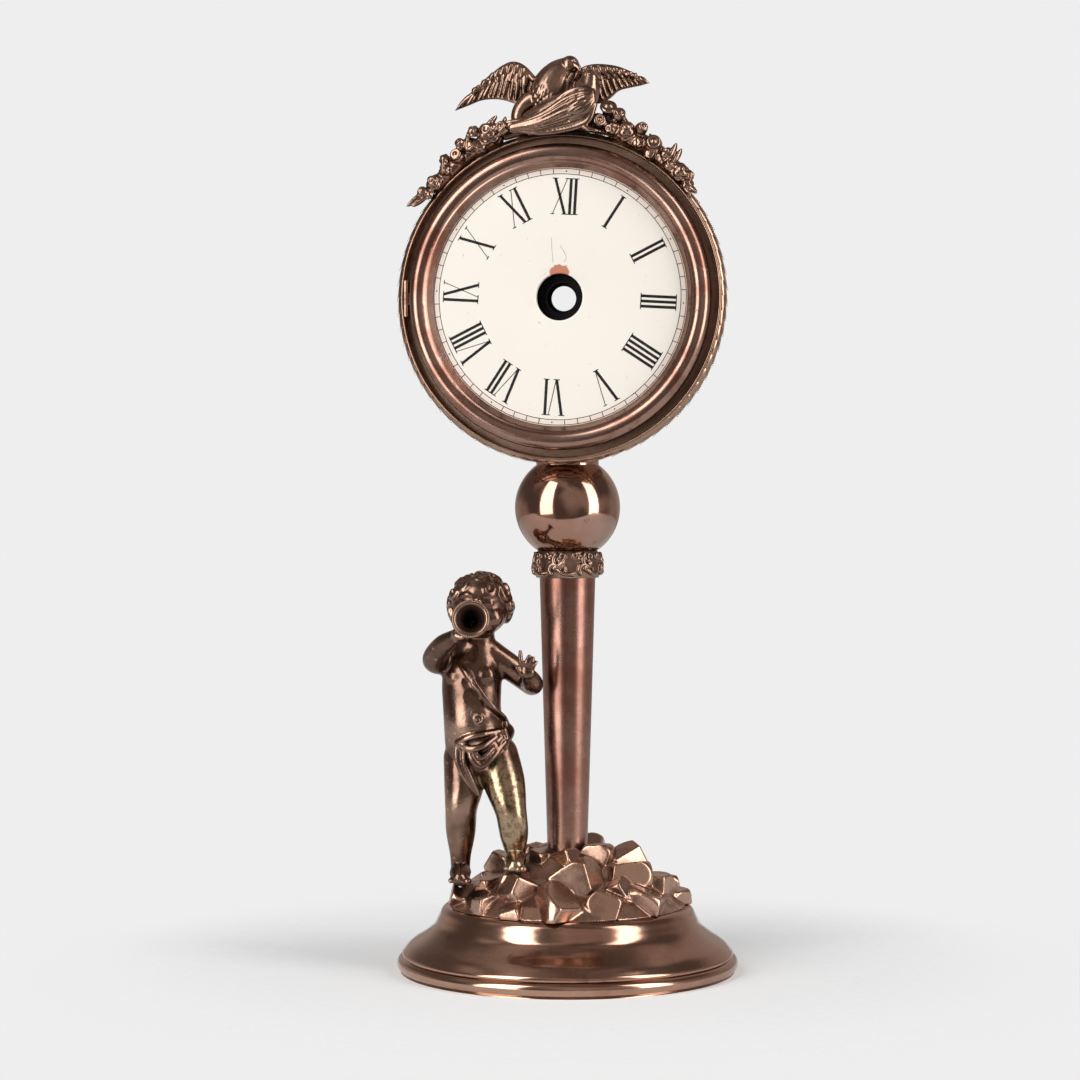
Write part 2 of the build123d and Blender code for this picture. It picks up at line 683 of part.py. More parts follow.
# bezel: a convex ring with a bevel down to the dial, and the middle eye of its hinge
EYE_HALF = KNUCKLE_H / 2
EYE_GAP = 0.1
OUTER_EYES = (
    (-EYE_HALF - EYE_GAP - KNUCKLE_H, -EYE_HALF - EYE_GAP),
    (EYE_HALF + EYE_GAP, EYE_HALF + EYE_GAP + KNUCKLE_H),
)
BEVEL_TOP = DIAL_FRONT - 2.9
with BuildPart() as bezel:
    with BuildSketch(DRUM_SECTION):
        with BuildLine():
            Polyline(
                (BEZEL_R, DIAL_FRONT - 0.4),
                (BEZEL_R, FLANGE_FRONT),
                (DIAL_R + 0.6, FLANGE_FRONT),
                (DIAL_R + 0.6, DIAL_FRONT - 0.2),
                (SIGHT_R, DIAL_FRONT - 0.2),
                (SIGHT_R, DIAL_FRONT - 0.5),
                (SIGHT_R + 1.6, BEVEL_TOP + 0.3),
                (SIGHT_R + 2.0, BEVEL_TOP),
                (SIGHT_R + 2.5, BEVEL_TOP + 0.1),
            )
            ThreePointArc(
                (SIGHT_R + 2.5, BEVEL_TOP + 0.1),
                (BEZEL_R - 2.5, BEVEL_TOP - 0.8),
                (BEZEL_R, DIAL_FRONT - 0.4),
            )
        make_face()
    revolve(axis=DRUM_AXIS)
    hinge_eye(BEZEL_PIVOT, -EYE_HALF, EYE_HALF, 0.3 - BEZEL_R, (BEZEL_PIVOT[1] - 0.1, BEZEL_PIVOT[1] + 1.1))
save(bezel, "bezel")

with BuildPart() as bezel_hinge_leaf:
    for low, high in OUTER_EYES:
        hinge_eye(BEZEL_PIVOT, low, high, BEZEL_PIVOT[0] - 0.5, (BEZEL_PIVOT[1], GROOVE_FLOOR))
    with Locations((BEZEL_PIVOT[0] - 0.5, GROOVE_FLOOR, DRUM_Z)):
        Box(1.0, 1.6, 2 * (EYE_HALF + KNUCKLE_H), align=(Align.MIN, Align.MAX, Align.CENTER))
save(bezel_hinge_leaf, "bezel_hinge_leaf")

PIN_HALF = EYE_HALF + KNUCKLE_H + 0.3
with BuildPart() as hinge_pins:
    for pivot in (BEZEL_PIVOT, DOOR_PIVOT):
        post(*pivot, DRUM_Z - PIN_HALF, DRUM_Z + PIN_HALF, PIN_R)
save(hinge_pins, "hinge_pins")

# rear door with a rounded edge, the sight hole, the winding hole and the middle eye of its hinge
DOOR_FRONT = SHELL_BACK + 0.05
DOOR_BACK = DOOR_FRONT + DOOR_T
DOOR_HOLE_R = 10.8
KNOB_AT = DOOR_R - 8.6
with BuildPart() as rear_door:
    with BuildSketch(DRUM_SECTION):
        with BuildLine():
            Polyline(
                (DOOR_R - 3.3, DOOR_BACK),
                (DOOR_HOLE_R + 1.6, DOOR_BACK),
                (DOOR_HOLE_R + 1.2, DOOR_BACK + 0.5),
                (DOOR_HOLE_R, DOOR_BACK + 0.5),
                (DOOR_HOLE_R, DOOR_FRONT),
                (DOOR_R, DOOR_FRONT),
                (DOOR_R, DOOR_BACK - 0.4),
                (DOOR_R - 0.7, DOOR_BACK),
            )
            ThreePointArc(
                (DOOR_R - 0.7, DOOR_BACK),
                (DOOR_R - 2.0, DOOR_BACK + 0.7),
                (DOOR_R - 3.3, DOOR_BACK),
            )
        make_face()
    revolve(axis=DRUM_AXIS)
    rod(BARREL, DOOR_FRONT - 1, DOOR_BACK + 1, 3.6, mode=Mode.SUBTRACT)
    hinge_eye(DOOR_PIVOT, -EYE_HALF, EYE_HALF, 0.6 - DOOR_R, (DOOR_FRONT, DOOR_BACK))
save(rear_door, "rear_door")

with BuildPart() as rear_door_leaf:
    with Locations((1.0 - SHELL_R, SHELL_BACK, DRUM_Z)):
        Box(2.4, 6.0, 2 * (EYE_HALF + KNUCKLE_H), align=(Align.MAX, Align.MAX, Align.CENTER))
    with Locations(facing(0, 0, 30)):
        Cylinder(SHELL_R, 60, align=UPWARD, mode=Mode.SUBTRACT)
    for low, high in OUTER_EYES:
        hinge_eye(DOOR_PIVOT, low, high, DOOR_PIVOT[0] + KNUCKLE_R, (DOOR_PIVOT[1], SHELL_BACK - 1.0))
save(rear_door_leaf, "rear_door_leaf")

with BuildPart() as rear_door_knob:
    rod((KNOB_AT, 0), DOOR_BACK, DOOR_BACK + 1.2, 1.3)
    with Locations(facing(KNOB_AT, 0, DOOR_BACK + 2.6)):
        Sphere(2.0)
save(rear_door_knob, "rear_door_knob")

# movement frame
FRONT_FACE = FRONT_PLATE - PLATE_T
REAR_FACE = BACK_PLATE + PLATE_T
TRAIN = (INTER, THIRD, FOURTH)
BRIDGE = (REAR_FACE + 5.4, REAR_FACE + 6.4)
with BuildPart() as front_plate:
    rod((0, 0), FRONT_FACE, FRONT_PLATE, PLATE_R)
    rod((0, 0), FRONT_FACE, FRONT_PLATE, PIPE_R + SEAT_GAP, mode=Mode.SUBTRACT)
    for place in TRAIN + (ESCAPE,):
        rod(place, FRONT_FACE, FRONT_PLATE, PIVOT_R + RUNNING, mode=Mode.SUBTRACT)
    rod(BARREL, FRONT_FACE, FRONT_PLATE, BARREL_ARBOR_R + RUNNING, mode=Mode.SUBTRACT)
    for angle in PILLAR_AT[1]:
        rod(polar(PILLAR_AT[0], angle), FRONT_FACE, FRONT_PLATE, 1.0 + RUNNING, mode=Mode.SUBTRACT)
save(front_plate, "front_plate")

with BuildPart() as back_plate:
    rod((0, 0), BACK_PLATE, REAR_FACE, PLATE_R)
    rod((0, 0), BACK_PLATE, REAR_FACE, 8.9, mode=Mode.SUBTRACT)
    for place in TRAIN:
        rod(place, BACK_PLATE, REAR_FACE, PIVOT_R + RUNNING, mode=Mode.SUBTRACT)
    for place in (LEVER, BALANCE):
        rod(place, BACK_PLATE, REAR_FACE, STAFF_PIVOT_R + RUNNING, mode=Mode.SUBTRACT)
    rod(ESCAPE, BACK_PLATE, REAR_FACE, 1.4, mode=Mode.SUBTRACT)
    rod(BARREL, BACK_PLATE, REAR_FACE, BARREL_ARBOR_R + RUNNING, mode=Mode.SUBTRACT)
    rod(CLICK, BACK_PLATE, REAR_FACE, 0.9 + RUNNING, mode=Mode.SUBTRACT)
    for angle in PILLAR_AT[1]:
        rod(polar(PILLAR_AT[0], angle), BACK_PLATE, REAR_FACE, 1.0 + RUNNING, mode=Mode.SUBTRACT)
save(back_plate, "back_plate")

with BuildPart() as plate_pillars:
    for angle in PILLAR_AT[1]:
        place = polar(PILLAR_AT[0], angle)
        rod(place, FRONT_PLATE, BACK_PLATE, 2.2)
        rod(place, FRONT_PLATE, BACK_PLATE, 1.0 + RUNNING, mode=Mode.SUBTRACT)
save(plate_pillars, "plate_pillars")

with BuildPart() as pillar_screws:
    for angle in PILLAR_AT[1]:
        place = polar(PILLAR_AT[0], angle)
        rod(place, FRONT_FACE, FRONT_PLATE + 6, 1.0)
        rod(place, FRONT_FACE - 1.1, FRONT_FACE, 2.0)
        rod(place, BACK_PLATE - 6, REAR_FACE, 1.0)
        rod(place, REAR_FACE, REAR_FACE + 1.1, 2.0)
save(pillar_screws, "pillar_screws")

with BuildPart() as movement_posts:
    for angle in POST_AT[1]:
        rod(polar(POST_AT[0], angle), FLANGE_BACK, FRONT_FACE, 1.8)
save(movement_posts, "movement_posts")

# sight tube: small aperture in front, wider to the back
TUBE_FRONT = FRONT_FACE - 3.5
APERTURE_Y = FRONT_FACE + 1.0
TUBE_BACK = SHELL_BACK + 1.4
TUBE_END_R = 9.6
with BuildPart() as sight_tube:
    with BuildSketch(DRUM_SECTION):
        with BuildLine():
            Polyline(
                (TUBE_R - 0.9, TUBE_FRONT),
                (TUBE_R, TUBE_FRONT),
                (TUBE_R, -1.2),
                (8.1, BACK_PLATE - 1.0),
                (12.5, BACK_PLATE - 1.0),
                (12.5, BACK_PLATE),
                (8.3, BACK_PLATE),
                (TUBE_END_R + 0.6, TUBE_BACK),
                (TUBE_END_R, TUBE_BACK),
                (TUBE_APERTURE, APERTURE_Y),
                (TUBE_R - 0.9, APERTURE_Y),
                close=True,
            )
        make_face()
    revolve(axis=DRUM_AXIS)
save(sight_tube, "sight_tube")

# phases of the gears, each turned to mesh with the one before it
INTER_PHASE = meshed(CANNON_T, 0, (0, 0), DRIVE_T, INTER)
GREAT_PHASE = meshed(INTER_LEAF, 0, INTER, GREAT_T, BARREL)
THIRD_PHASE = meshed(CENTRE_T, 0, (0, 0), LEAF, THIRD)
FOURTH_PHASE = meshed(THIRD_T, 0, THIRD, LEAF, FOURTH)
ESCAPE_PHASE = meshed(FOURTH_T, 0, FOURTH, LEAF, ESCAPE)
MOTION_PHASE = meshed(CANNON_T, 0, (0, 0), DRIVE_T, MOTION)
HOUR_PHASE = meshed(HOUR_LEAF, 0, MOTION, HOUR_T, (0, 0))


def arbor(place, radius, rear=REAR_FACE - 0.1, rear_r=PIVOT_R, shoulder=BACK_PLATE - 0.1):
    """Arbor between the plates with a thin pivot at each end."""
    rod(place, FRONT_FACE + 0.1, rear, rear_r)
    rod(place, FRONT_FACE + 0.1, FRONT_PLATE + 0.5, PIVOT_R)
    rod(place, FRONT_PLATE + 0.1, shoulder, radius)


# centre: the pipe with its pinion, its wheel and the minute pinion
with BuildPart() as centre_pinion:
    with BuildSketch(facing(0, 0, -2.4)):
        add(gear(CANNON_T, CANNON_M, 0))
    extrude(amount=2.1)
    rod((0, 0), -12.6, -1.6, PIPE_R)
    rod((0, 0), -13, 0, TUBE_R + RUNNING, mode=Mode.SUBTRACT)
save(centre_pinion, "centre_pinion")

with BuildPart() as centre_wheel:
    with BuildSketch(facing(0, 0, -5.1)):
        add(spoked(CENTRE_T, CENTRE_M, 0, 10.0, PIPE_R, 2.4))
    extrude(amount=1.2)
save(centre_wheel, "centre_wheel")

with BuildPart() as minute_pinion:
    with BuildSketch(facing(0, 0, -9.2)):
        add(gear(CANNON_T, CANNON_M, 0))
        Circle(PIPE_R, mode=Mode.SUBTRACT)
    extrude(amount=1.4)
save(minute_pinion, "minute_pinion")

# motion work behind the dial
with BuildPart() as motion_wheel:
    with BuildSketch(facing(*MOTION, -9.2)):
        add(spoked(DRIVE_T, CANNON_M, MOTION_PHASE, 4.0, 1.0 + RUNNING, 2.2))
    extrude(amount=1.3)
    with BuildSketch(facing(*MOTION, -10.5)):
        add(gear(HOUR_LEAF, HOUR_M, 0))
        Circle(1.0 + RUNNING, mode=Mode.SUBTRACT)
    extrude(amount=2.0)
save(motion_wheel, "motion_wheel")

with BuildPart() as motion_stud:
    rod(MOTION, -13.0, FRONT_FACE, 1.0)
    rod(MOTION, -9.1, FRONT_FACE, 2.2)
    rod(MOTION, -13.4, -12.6, 1.8)
save(motion_stud, "motion_stud")

with BuildPart() as hour_wheel:
    with BuildSketch(facing(0, 0, -11.1)):
        add(spoked(HOUR_T, HOUR_M, HOUR_PHASE, 10.0, PIPE_R + RUNNING, 2.4))
    extrude(amount=1.2)
    rod((0, 0), -13.0, -11.1, HOUR_PIPE_R)
    rod((0, 0), -14, -10, PIPE_R + RUNNING, mode=Mode.SUBTRACT)
save(hour_wheel, "hour_wheel")

# mainspring barrel with its cover, spring, arbor, ratchet and click
BARREL_R = 16.8
BARREL_FRONT = -1.9
BARREL_BACK = 7.6
with BuildPart() as mainspring_barrel:
    with BuildSketch(facing(*BARREL, BARREL_FRONT + 1.6)):
        add(gear(GREAT_T, GREAT_M, GREAT_PHASE))
    extrude(amount=1.6)
    rod(BARREL, BARREL_FRONT, BARREL_BACK, BARREL_R)
    rod(BARREL, BARREL_FRONT + 1.5, BARREL_BACK, BARREL_R - 1.2, mode=Mode.SUBTRACT)
    rod(BARREL, BARREL_FRONT, BARREL_BACK, BARREL_ARBOR_R + RUNNING, mode=Mode.SUBTRACT)
save(mainspring_barrel, "mainspring_barrel")

with BuildPart() as barrel_cover:
    rod(BARREL, BARREL_BACK - 1.0, BARREL_BACK, BARREL_R - 1.2)
    rod(BARREL, BARREL_BACK - 1.0, BARREL_BACK, BARREL_ARBOR_R + RUNNING, mode=Mode.SUBTRACT)
save(barrel_cover, "barrel_cover")

SPRING_W = 5.8
with BuildPart() as mainspring:
    with BuildSketch(facing(*BARREL, BARREL_BACK - 1.3)):
        add(spiral(4.4, 0.54, 20, 0.35))
    extrude(amount=SPRING_W)
save(mainspring, "mainspring")

with BuildPart() as barrel_arbor:
    rod(BARREL, FRONT_FACE, REAR_FACE + 2.2, BARREL_ARBOR_R)
    rod(BARREL, BARREL_FRONT + 1.7, BARREL_BACK - 1.2, 3.4)
    with BuildSketch(facing(*BARREL, SHELL_BACK - 1.6)):
        Rectangle(3.2, 3.2)
    extrude(amount=5.0)
save(barrel_arbor, "barrel_arbor")

with BuildPart() as ratchet_wheel:
    with BuildSketch(facing(*BARREL, REAR_FACE + 1.8)):
        add(sawn(RATCHET_T, RATCHET_R, RATCHET_R - 1.0, 0.75))
        Circle(BARREL_ARBOR_R, mode=Mode.SUBTRACT)
    extrude(amount=1.4)
save(ratchet_wheel, "ratchet_wheel")

CLICK_TIP = shifted(BARREL, RATCHET_R + 0.65, 140)
with BuildPart() as click:
    with BuildSketch(facing(0, 0, REAR_FACE + 1.8)):
        add(bars(((CLICK, 2.0), (CLICK_TIP, 0.5))))
        with Locations(CLICK):
            Circle(0.9 + RUNNING, mode=Mode.SUBTRACT)
    extrude(amount=1.4)
save(click, "click")

with BuildPart() as click_screw:
    rod(CLICK, BACK_PLATE + 0.1, REAR_FACE + 2.0, 0.9)
    rod(CLICK, REAR_FACE + 1.9, REAR_FACE + 3.0, 1.7)
save(click_screw, "click_screw")

# train
with BuildPart() as intermediate_pinion:
    arbor(INTER, 1.0)
    with BuildSketch(facing(*INTER, 0.2)):
        add(gear(INTER_LEAF, GREAT_M, 0))
    extrude(amount=2.6)
save(intermediate_pinion, "intermediate_pinion")

with BuildPart() as intermediate_wheel:
    with BuildSketch(facing(*INTER, -3.0)):
        add(spoked(DRIVE_T, CANNON_M, INTER_PHASE, 3.4, 1.0, 2.2))
    extrude(amount=1.2)
save(intermediate_wheel, "intermediate_wheel")

with BuildPart() as third_pinion:
    arbor(THIRD, ARBOR_R)
    with BuildSketch(facing(*THIRD, -4.8)):
        add(gear(LEAF, CENTRE_M, THIRD_PHASE))
    extrude(amount=1.8)
save(third_pinion, "third_pinion")

with BuildPart() as third_wheel:
    with BuildSketch(facing(*THIRD, 3.0)):
        add(spoked(THIRD_T, THIRD_M, 0, 2.8, ARBOR_R, 1.8))
    extrude(amount=1.0)
save(third_wheel, "third_wheel")

with BuildPart() as fourth_pinion:
    arbor(FOURTH, ARBOR_R)
    with BuildSketch(facing(*FOURTH, 3.5)):
        add(gear(LEAF, THIRD_M, FOURTH_PHASE))
    extrude(amount=2.0)
save(fourth_pinion, "fourth_pinion")

with BuildPart() as fourth_wheel:
    with BuildSketch(facing(*FOURTH, -0.5)):
        add(spoked(FOURTH_T, FOURTH_M, 0, 2.4, ARBOR_R, 1.6))
    extrude(amount=0.9)
save(fourth_wheel, "fourth_wheel")

# escapement behind the back plate
ESCAPE_Y = (REAR_FACE + 1.1, REAR_FACE + 1.9)
with BuildPart() as escape_pinion:
    arbor(ESCAPE, ARBOR_R, BRIDGE[1] - 0.1, STAFF_PIVOT_R, BRIDGE[0] - 0.2)
    with BuildSketch(facing(*ESCAPE, 0.2)):
        add(gear(LEAF, FOURTH_M, ESCAPE_PHASE))
    extrude(amount=2.2)
save(escape_pinion, "escape_pinion")

with BuildPart() as escape_wheel:
    with BuildSketch(facing(*ESCAPE, ESCAPE_Y[1])):
        add(sawn(ESCAPE_T, ESCAPE_R, ESCAPE_R - 1.5, 0.4))
        with PolarLocations(3.0, 4):
            Circle(0.9, mode=Mode.SUBTRACT)
        Circle(ARBOR_R, mode=Mode.SUBTRACT)
    extrude(amount=ESCAPE_Y[1] - ESCAPE_Y[0])
save(escape_wheel, "escape_wheel")

PALLETS = [shifted(ESCAPE, ESCAPE_R + 1.1, 150 + side * 48) for side in (-1, 1)]
FORK = shifted(LEVER, 8.2, 165)
with BuildPart() as pallet_lever:
    with BuildSketch(facing(0, 0, ESCAPE_Y[1] + 0.1)):
        for place, radius in ((PALLETS[0], 0.5), (PALLETS[1], 0.5), (FORK, 0.8)):
            add(bars(((LEVER, 1.2), (place, radius))))
        with Locations(Location((*FORK, 0), (0, 0, 165))):
            with Locations((0.5, 0)):
                Rectangle(1.0, 0.7, mode=Mode.SUBTRACT)
    extrude(amount=1.0)
    rod(LEVER, REAR_FACE + 0.1, BRIDGE[0] - 0.1, 0.7)
    rod(LEVER, BACK_PLATE + 0.1, BRIDGE[1] - 0.1, STAFF_PIVOT_R)
save(pallet_lever, "pallet_lever")

IMPULSE = shifted(BALANCE, 2.6, -15)
with BuildPart() as balance_staff:
    rod(BALANCE, REAR_FACE + 0.1, BRIDGE[0] - 0.1, ARBOR_R)
    rod(BALANCE, BACK_PLATE + 0.1, BRIDGE[1] - 0.1, STAFF_PIVOT_R)
    rod(BALANCE, ESCAPE_Y[1] + 0.4, ESCAPE_Y[1] + 0.9, 3.2)
    rod(IMPULSE, ESCAPE_Y[0], ESCAPE_Y[1] + 0.5, 0.35)
save(balance_staff, "balance_staff")

with BuildPart() as balance_wheel:
    with BuildSketch(facing(*BALANCE, REAR_FACE + 4.1)):
        Circle(9.5)
        Circle(8.3, mode=Mode.SUBTRACT)
        Rectangle(17.0, 1.4)
        Circle(1.8)
        Circle(ARBOR_R, mode=Mode.SUBTRACT)
    extrude(amount=1.0)
save(balance_wheel, "balance_wheel")

with BuildPart() as hairspring:
    with BuildSketch(facing(*BALANCE, REAR_FACE + 4.9)):
        add(spiral(1.4, 0.36, 10, 0.16))
        Circle(1.4)
        Circle(ARBOR_R, mode=Mode.SUBTRACT)
    extrude(amount=0.5)
save(hairspring, "hairspring")

with BuildPart() as escapement_bridge:
    with BuildSketch(facing(0, 0, BRIDGE[1])):
        stations = (BRIDGE_POSTS[0], ESCAPE, LEVER, BALANCE, BRIDGE_POSTS[1])
        for start, end in zip(stations, stations[1:]):
            add(bars(((start, 2.4), (end, 2.4))))
    extrude(amount=BRIDGE[1] - BRIDGE[0])
    for place in BRIDGE_POSTS:
        rod(place, REAR_FACE, BRIDGE[0], 1.8)
    for place in (ESCAPE, LEVER, BALANCE):
        rod(place, BRIDGE[0] - 0.5, BRIDGE[1] + 0.5, STAFF_PIVOT_R + RUNNING, mode=Mode.SUBTRACT)
save(escapement_bridge, "escapement_bridge")

# crest: a dove with folded wings in front, one with spread wings behind it, and the two garlands
CREST_GAP = 0.06
CREST_WAIST = 0.85
CREST_Z = DRUM_Z + BORDER_R
DOVE_MEET = BORDER_FRONT + 6.1
WING_BACK = DOVE_MEET + 4.7
WING_T = 2.6
LEFT_WING = (
    (-4.6, 13.7),
    (-12.6, 19.7),
    (-21.2, 22.9),
    (-31.0, 17.3),
    (-39.2, 8.5),
    (-24.4, 8.5),
    (-12.6, 8.3),
)
RIGHT_WING = ((-0.8, 16.7), (8.4, 19.7), (16.6, 21.7), (29.4, 16.3), (16.6, 10.9), (5.4, 11.7))


def clear_of_drum():
    """Cut away what lies in the border or over the bezel."""
    rod((0, 0), BORDER_FRONT - CREST_GAP, 40, BORDER_R + CREST_GAP, mode=Mode.SUBTRACT)
    rod((0, 0), -60, BORDER_FRONT, BEZEL_R + 0.8, mode=Mode.SUBTRACT)


def wing(outline):
    """Flat wing with a curved outline, seen from the front at heights above the border."""
    with BuildSketch(Plane.XZ.offset(-WING_BACK)) as blade:
        with BuildLine():
            Spline(*((x, CREST_Z + rise) for x, rise in outline), periodic=True)
        make_face()
    extrude(blade.sketch, amount=WING_T)


with BuildPart() as dove_folded:
    with Locations((0, 0, CREST_Z)):
        limb(((-9.6, -17.0, 4.5), (-1.6, -17.2, 6.6), (6.4, -17.2, 9.1)), (4.6, 6.6, 5.9), CREST_WAIST)
        limb(((9.2, -17.0, 11.1), (11.2, -16.4, 15.7)), (4.2, 3.4), CREST_WAIST)
        limb(((11.0, -16.4, 16.1), (7.6, -16.0, 18.1)), (1.4, 0.5), CREST_WAIST)
        limb(((-8.0, -16.6, 4.3), (-19.0, -17.0, 1.3)), (4.0, 1.6), CREST_WAIST)
        limb(((1.0, -15.0, 4.7), (1.0, -14.2, -2.3)), (4.0, 3.4), CREST_WAIST)
    clear_of_drum()
save(dove_folded, "dove_folded")

with BuildPart() as dove_spread:
    with Locations((0, 0, CREST_Z)):
        limb(
            ((-9.2, -6.0, 11.1), (-4.8, -6.2, 15.5), (-1.5, -6.4, 19.1), (2.2, -7.0, 22.9)),
            (4.8, 6.2, 5.0, 3.4),
            CREST_WAIST,
        )
        limb(((2.6, -7.2, 23.1), (6.4, -8.6, 20.3)), (1.9, 0.6), CREST_WAIST)
        limb(((-5.4, -6.6, 10.7), (-4.4, -7.4, -3.3)), (4.6, 4.0), CREST_WAIST)
    wing(LEFT_WING)
    wing(RIGHT_WING)
    split(bisect_by=Plane.XZ.offset(-DOVE_MEET), keep=Keep.BOTTOM)
    clear_of_drum()
save(dove_spread, "dove_spread")

# garlands: angle round the drum, distance beyond the border and radius of each flower
GARLAND_Y = BORDER_FRONT + 1.0
LEFT_FLOWERS = ((106.0, 5.5, 4.2), (113.8, 4.4, 6.1), (125.7, 2.6, 5.9), (138.0, 2.1, 5.2), (147.2, 3.7, 2.8))
RIGHT_FLOWERS = ((73.8, 5.2, 4.4), (66.3, 3.0, 5.6), (56.7, 2.4, 5.7), (45.4, 1.3, 5.3), (36.0, 0.1, 2.6))
UPRIGHT_LEAF = ((50.2, 2.7, 3.0), (51.7, 9.1, 1.4))


def spray(flowers):
    """Chain of flowers round the drum."""
    points = []
    for angle, out, _ in flowers:
        u, v = polar(BORDER_R + out, angle)
        points.append((u, GARLAND_Y, DRUM_Z + v))
    limb(points, [radius for _, _, radius in flowers], CREST_WAIST)


with BuildPart() as garland_left:
    spray(LEFT_FLOWERS)
    clear_of_drum()
    radial_screw(CREST_SCREWS[0], SHELL_R, BORDER_R + 3.5, 1.0 + RUNNING, mode=Mode.SUBTRACT)
    add(dove_folded.part, mode=Mode.SUBTRACT)
save(garland_left, "garland_left")

with BuildPart() as garland_right:
    spray(RIGHT_FLOWERS)
    spray(UPRIGHT_LEAF)
    clear_of_drum()
    radial_screw(CREST_SCREWS[1], SHELL_R, BORDER_R + 3.5, 1.0 + RUNNING, mode=Mode.SUBTRACT)
save(garland_right, "garland_right")
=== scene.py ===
"""Looks of the mystery clock: worn coppery plate, cast ornaments and an enamel dial.

Sizes in the classes are millimetres in the part's own frame: the origin is the middle of the foot on the
ground, +Z is up and the dial faces -Y. A mesh becomes metres when it is finished.
"""

import logging
import random
from collections.abc import Iterable, Iterator, Sequence
from contextlib import contextmanager
from dataclasses import dataclass, field
from enum import Enum
from functools import cache
from math import acos, cos, pi, radians, sin, sqrt

import bmesh
import bpy
from mathutils import Matrix, Vector
from mathutils.geometry import interpolate_bezier
from mathutils.kdtree import KDTree


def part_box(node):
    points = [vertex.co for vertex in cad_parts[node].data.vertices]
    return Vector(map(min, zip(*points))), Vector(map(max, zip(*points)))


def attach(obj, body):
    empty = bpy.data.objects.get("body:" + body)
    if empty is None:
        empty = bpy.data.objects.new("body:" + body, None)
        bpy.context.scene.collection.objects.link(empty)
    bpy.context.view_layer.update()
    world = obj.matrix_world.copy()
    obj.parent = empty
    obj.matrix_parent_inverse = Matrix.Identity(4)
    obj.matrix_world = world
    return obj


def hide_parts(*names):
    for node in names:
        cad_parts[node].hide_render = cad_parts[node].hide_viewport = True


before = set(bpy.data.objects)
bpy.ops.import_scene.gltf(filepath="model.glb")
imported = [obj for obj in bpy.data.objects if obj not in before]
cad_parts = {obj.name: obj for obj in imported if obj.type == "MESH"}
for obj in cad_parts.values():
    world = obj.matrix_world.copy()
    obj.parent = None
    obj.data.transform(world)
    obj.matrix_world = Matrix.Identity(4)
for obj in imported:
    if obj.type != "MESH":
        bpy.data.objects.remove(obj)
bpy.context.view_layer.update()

LOG = logging.getLogger("mystery_clock")
MM = 0.001
Pair = tuple[float, float]
Triple = tuple[float, float, float]
Colour = tuple[float, float, float, float]
UP = Vector((0, 0, 1))
FRONT = Vector((0, -1, 0))
BACK = Vector((0, 1, 0))


class Body(Enum):
    """Rigid body of the part that dressed pieces ride on."""

    CASE = "case"


class Slot(Enum):
    """Material slots that the finishes belong to."""

    PLATE = "worn_plate"
    CAST = "cast_metal"
    STEEL = "steel"
    BLACK = "blackened_steel"
    ENAMEL = "enamel"
    BRASS = "movement_brass"


class Bloom(Enum):
    """Kinds of flower in the garlands."""

    ROSE = "rose"
    RINGED = "ringed bud"
    BALL = "small bud or rose"
    TRUMPET = "trumpet"


def span(node: str) -> tuple[Vector, Vector]:
    """Lowest and highest corner of a node in millimetres."""
    low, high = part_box(node)
    return low / MM, high / MM


DRUM_Z = sum(corner.z for corner in span("dial")) / 2
DIAL_FRONT = span("dial")[0].y
FOOT_TOP = span("base_foot")[1].z


def on_drum(angle: float, radius: float, y: float) -> Vector:
    """Point at an angle in degrees and a distance from the drum's axis, at depth y."""
    return Vector((radius * cos(radians(angle)), y, DRUM_Z + radius * sin(radians(angle))))


def flow(points: Sequence[Vector | Triple], parts: int) -> list[Vector]:
    """Smooth line through points.

    Args:
        points: the points that the line passes.
        parts: number of steps between each two of them.

    Returns:
        Points along the line, both ends among them.
    """
    knots = [Vector(point) for point in points]
    knots = [2 * knots[0] - knots[1], *knots, 2 * knots[-1] - knots[-2]]
    line = []
    for before, start, end, after in zip(knots, knots[1:], knots[2:], knots[3:]):
        leave, arrive = start + (end - before) / 6, end - (after - start) / 6
        line += interpolate_bezier(start, leave, arrive, end, parts + 1)[:-1]
    return [*line, knots[-2]]


def arc(middle: Pair, radii: Pair, start: float, step: float, count: int) -> list[Pair]:
    """Points of a round or elliptic arc.

    Args:
        middle: its centre.
        radii: its half axes; a negative one mirrors it.
        start: angle of the first point.
        step: angle from each point to the next.
        count: number of points.

    Returns:
        The points in order.
    """
    angles = [start + step * k for k in range(count)]
    return [(middle[0] + radii[0] * cos(a), middle[1] + radii[1] * sin(a)) for a in angles]


def basis(normal: Vector, along: Vector) -> Matrix:
    """Turn whose Z is the normal and whose X lies along the given direction.

    Args:
        normal: direction of its Z.
        along: direction that its X keeps to, as far as Z lets it.

    Returns:
        The turn.
    """
    z = normal.normalized()
    y = z.cross(along).normalized()
    return Matrix((y.cross(z), y, z)).transposed().to_4x4()


def nearby(points: Iterable[Vector]) -> KDTree:
    """Search tree of points, numbered in their order.

    Args:
        points: the points.

    Returns:
        The tree, ready to search.
    """
    places = list(points)
    tree = KDTree(len(places))
    for index, place in enumerate(places):
        tree.insert(place, index)
    tree.balance()
    return tree


def put(name: str, data: bpy.types.ID) -> bpy.types.Object:
    """New object in the scene.

    Args:
        name: its name.
        data: its mesh, light or camera.

    Returns:
        The object.
    """
    thing = bpy.data.objects.new(name, data)
    bpy.context.scene.collection.objects.link(thing)
    return thing


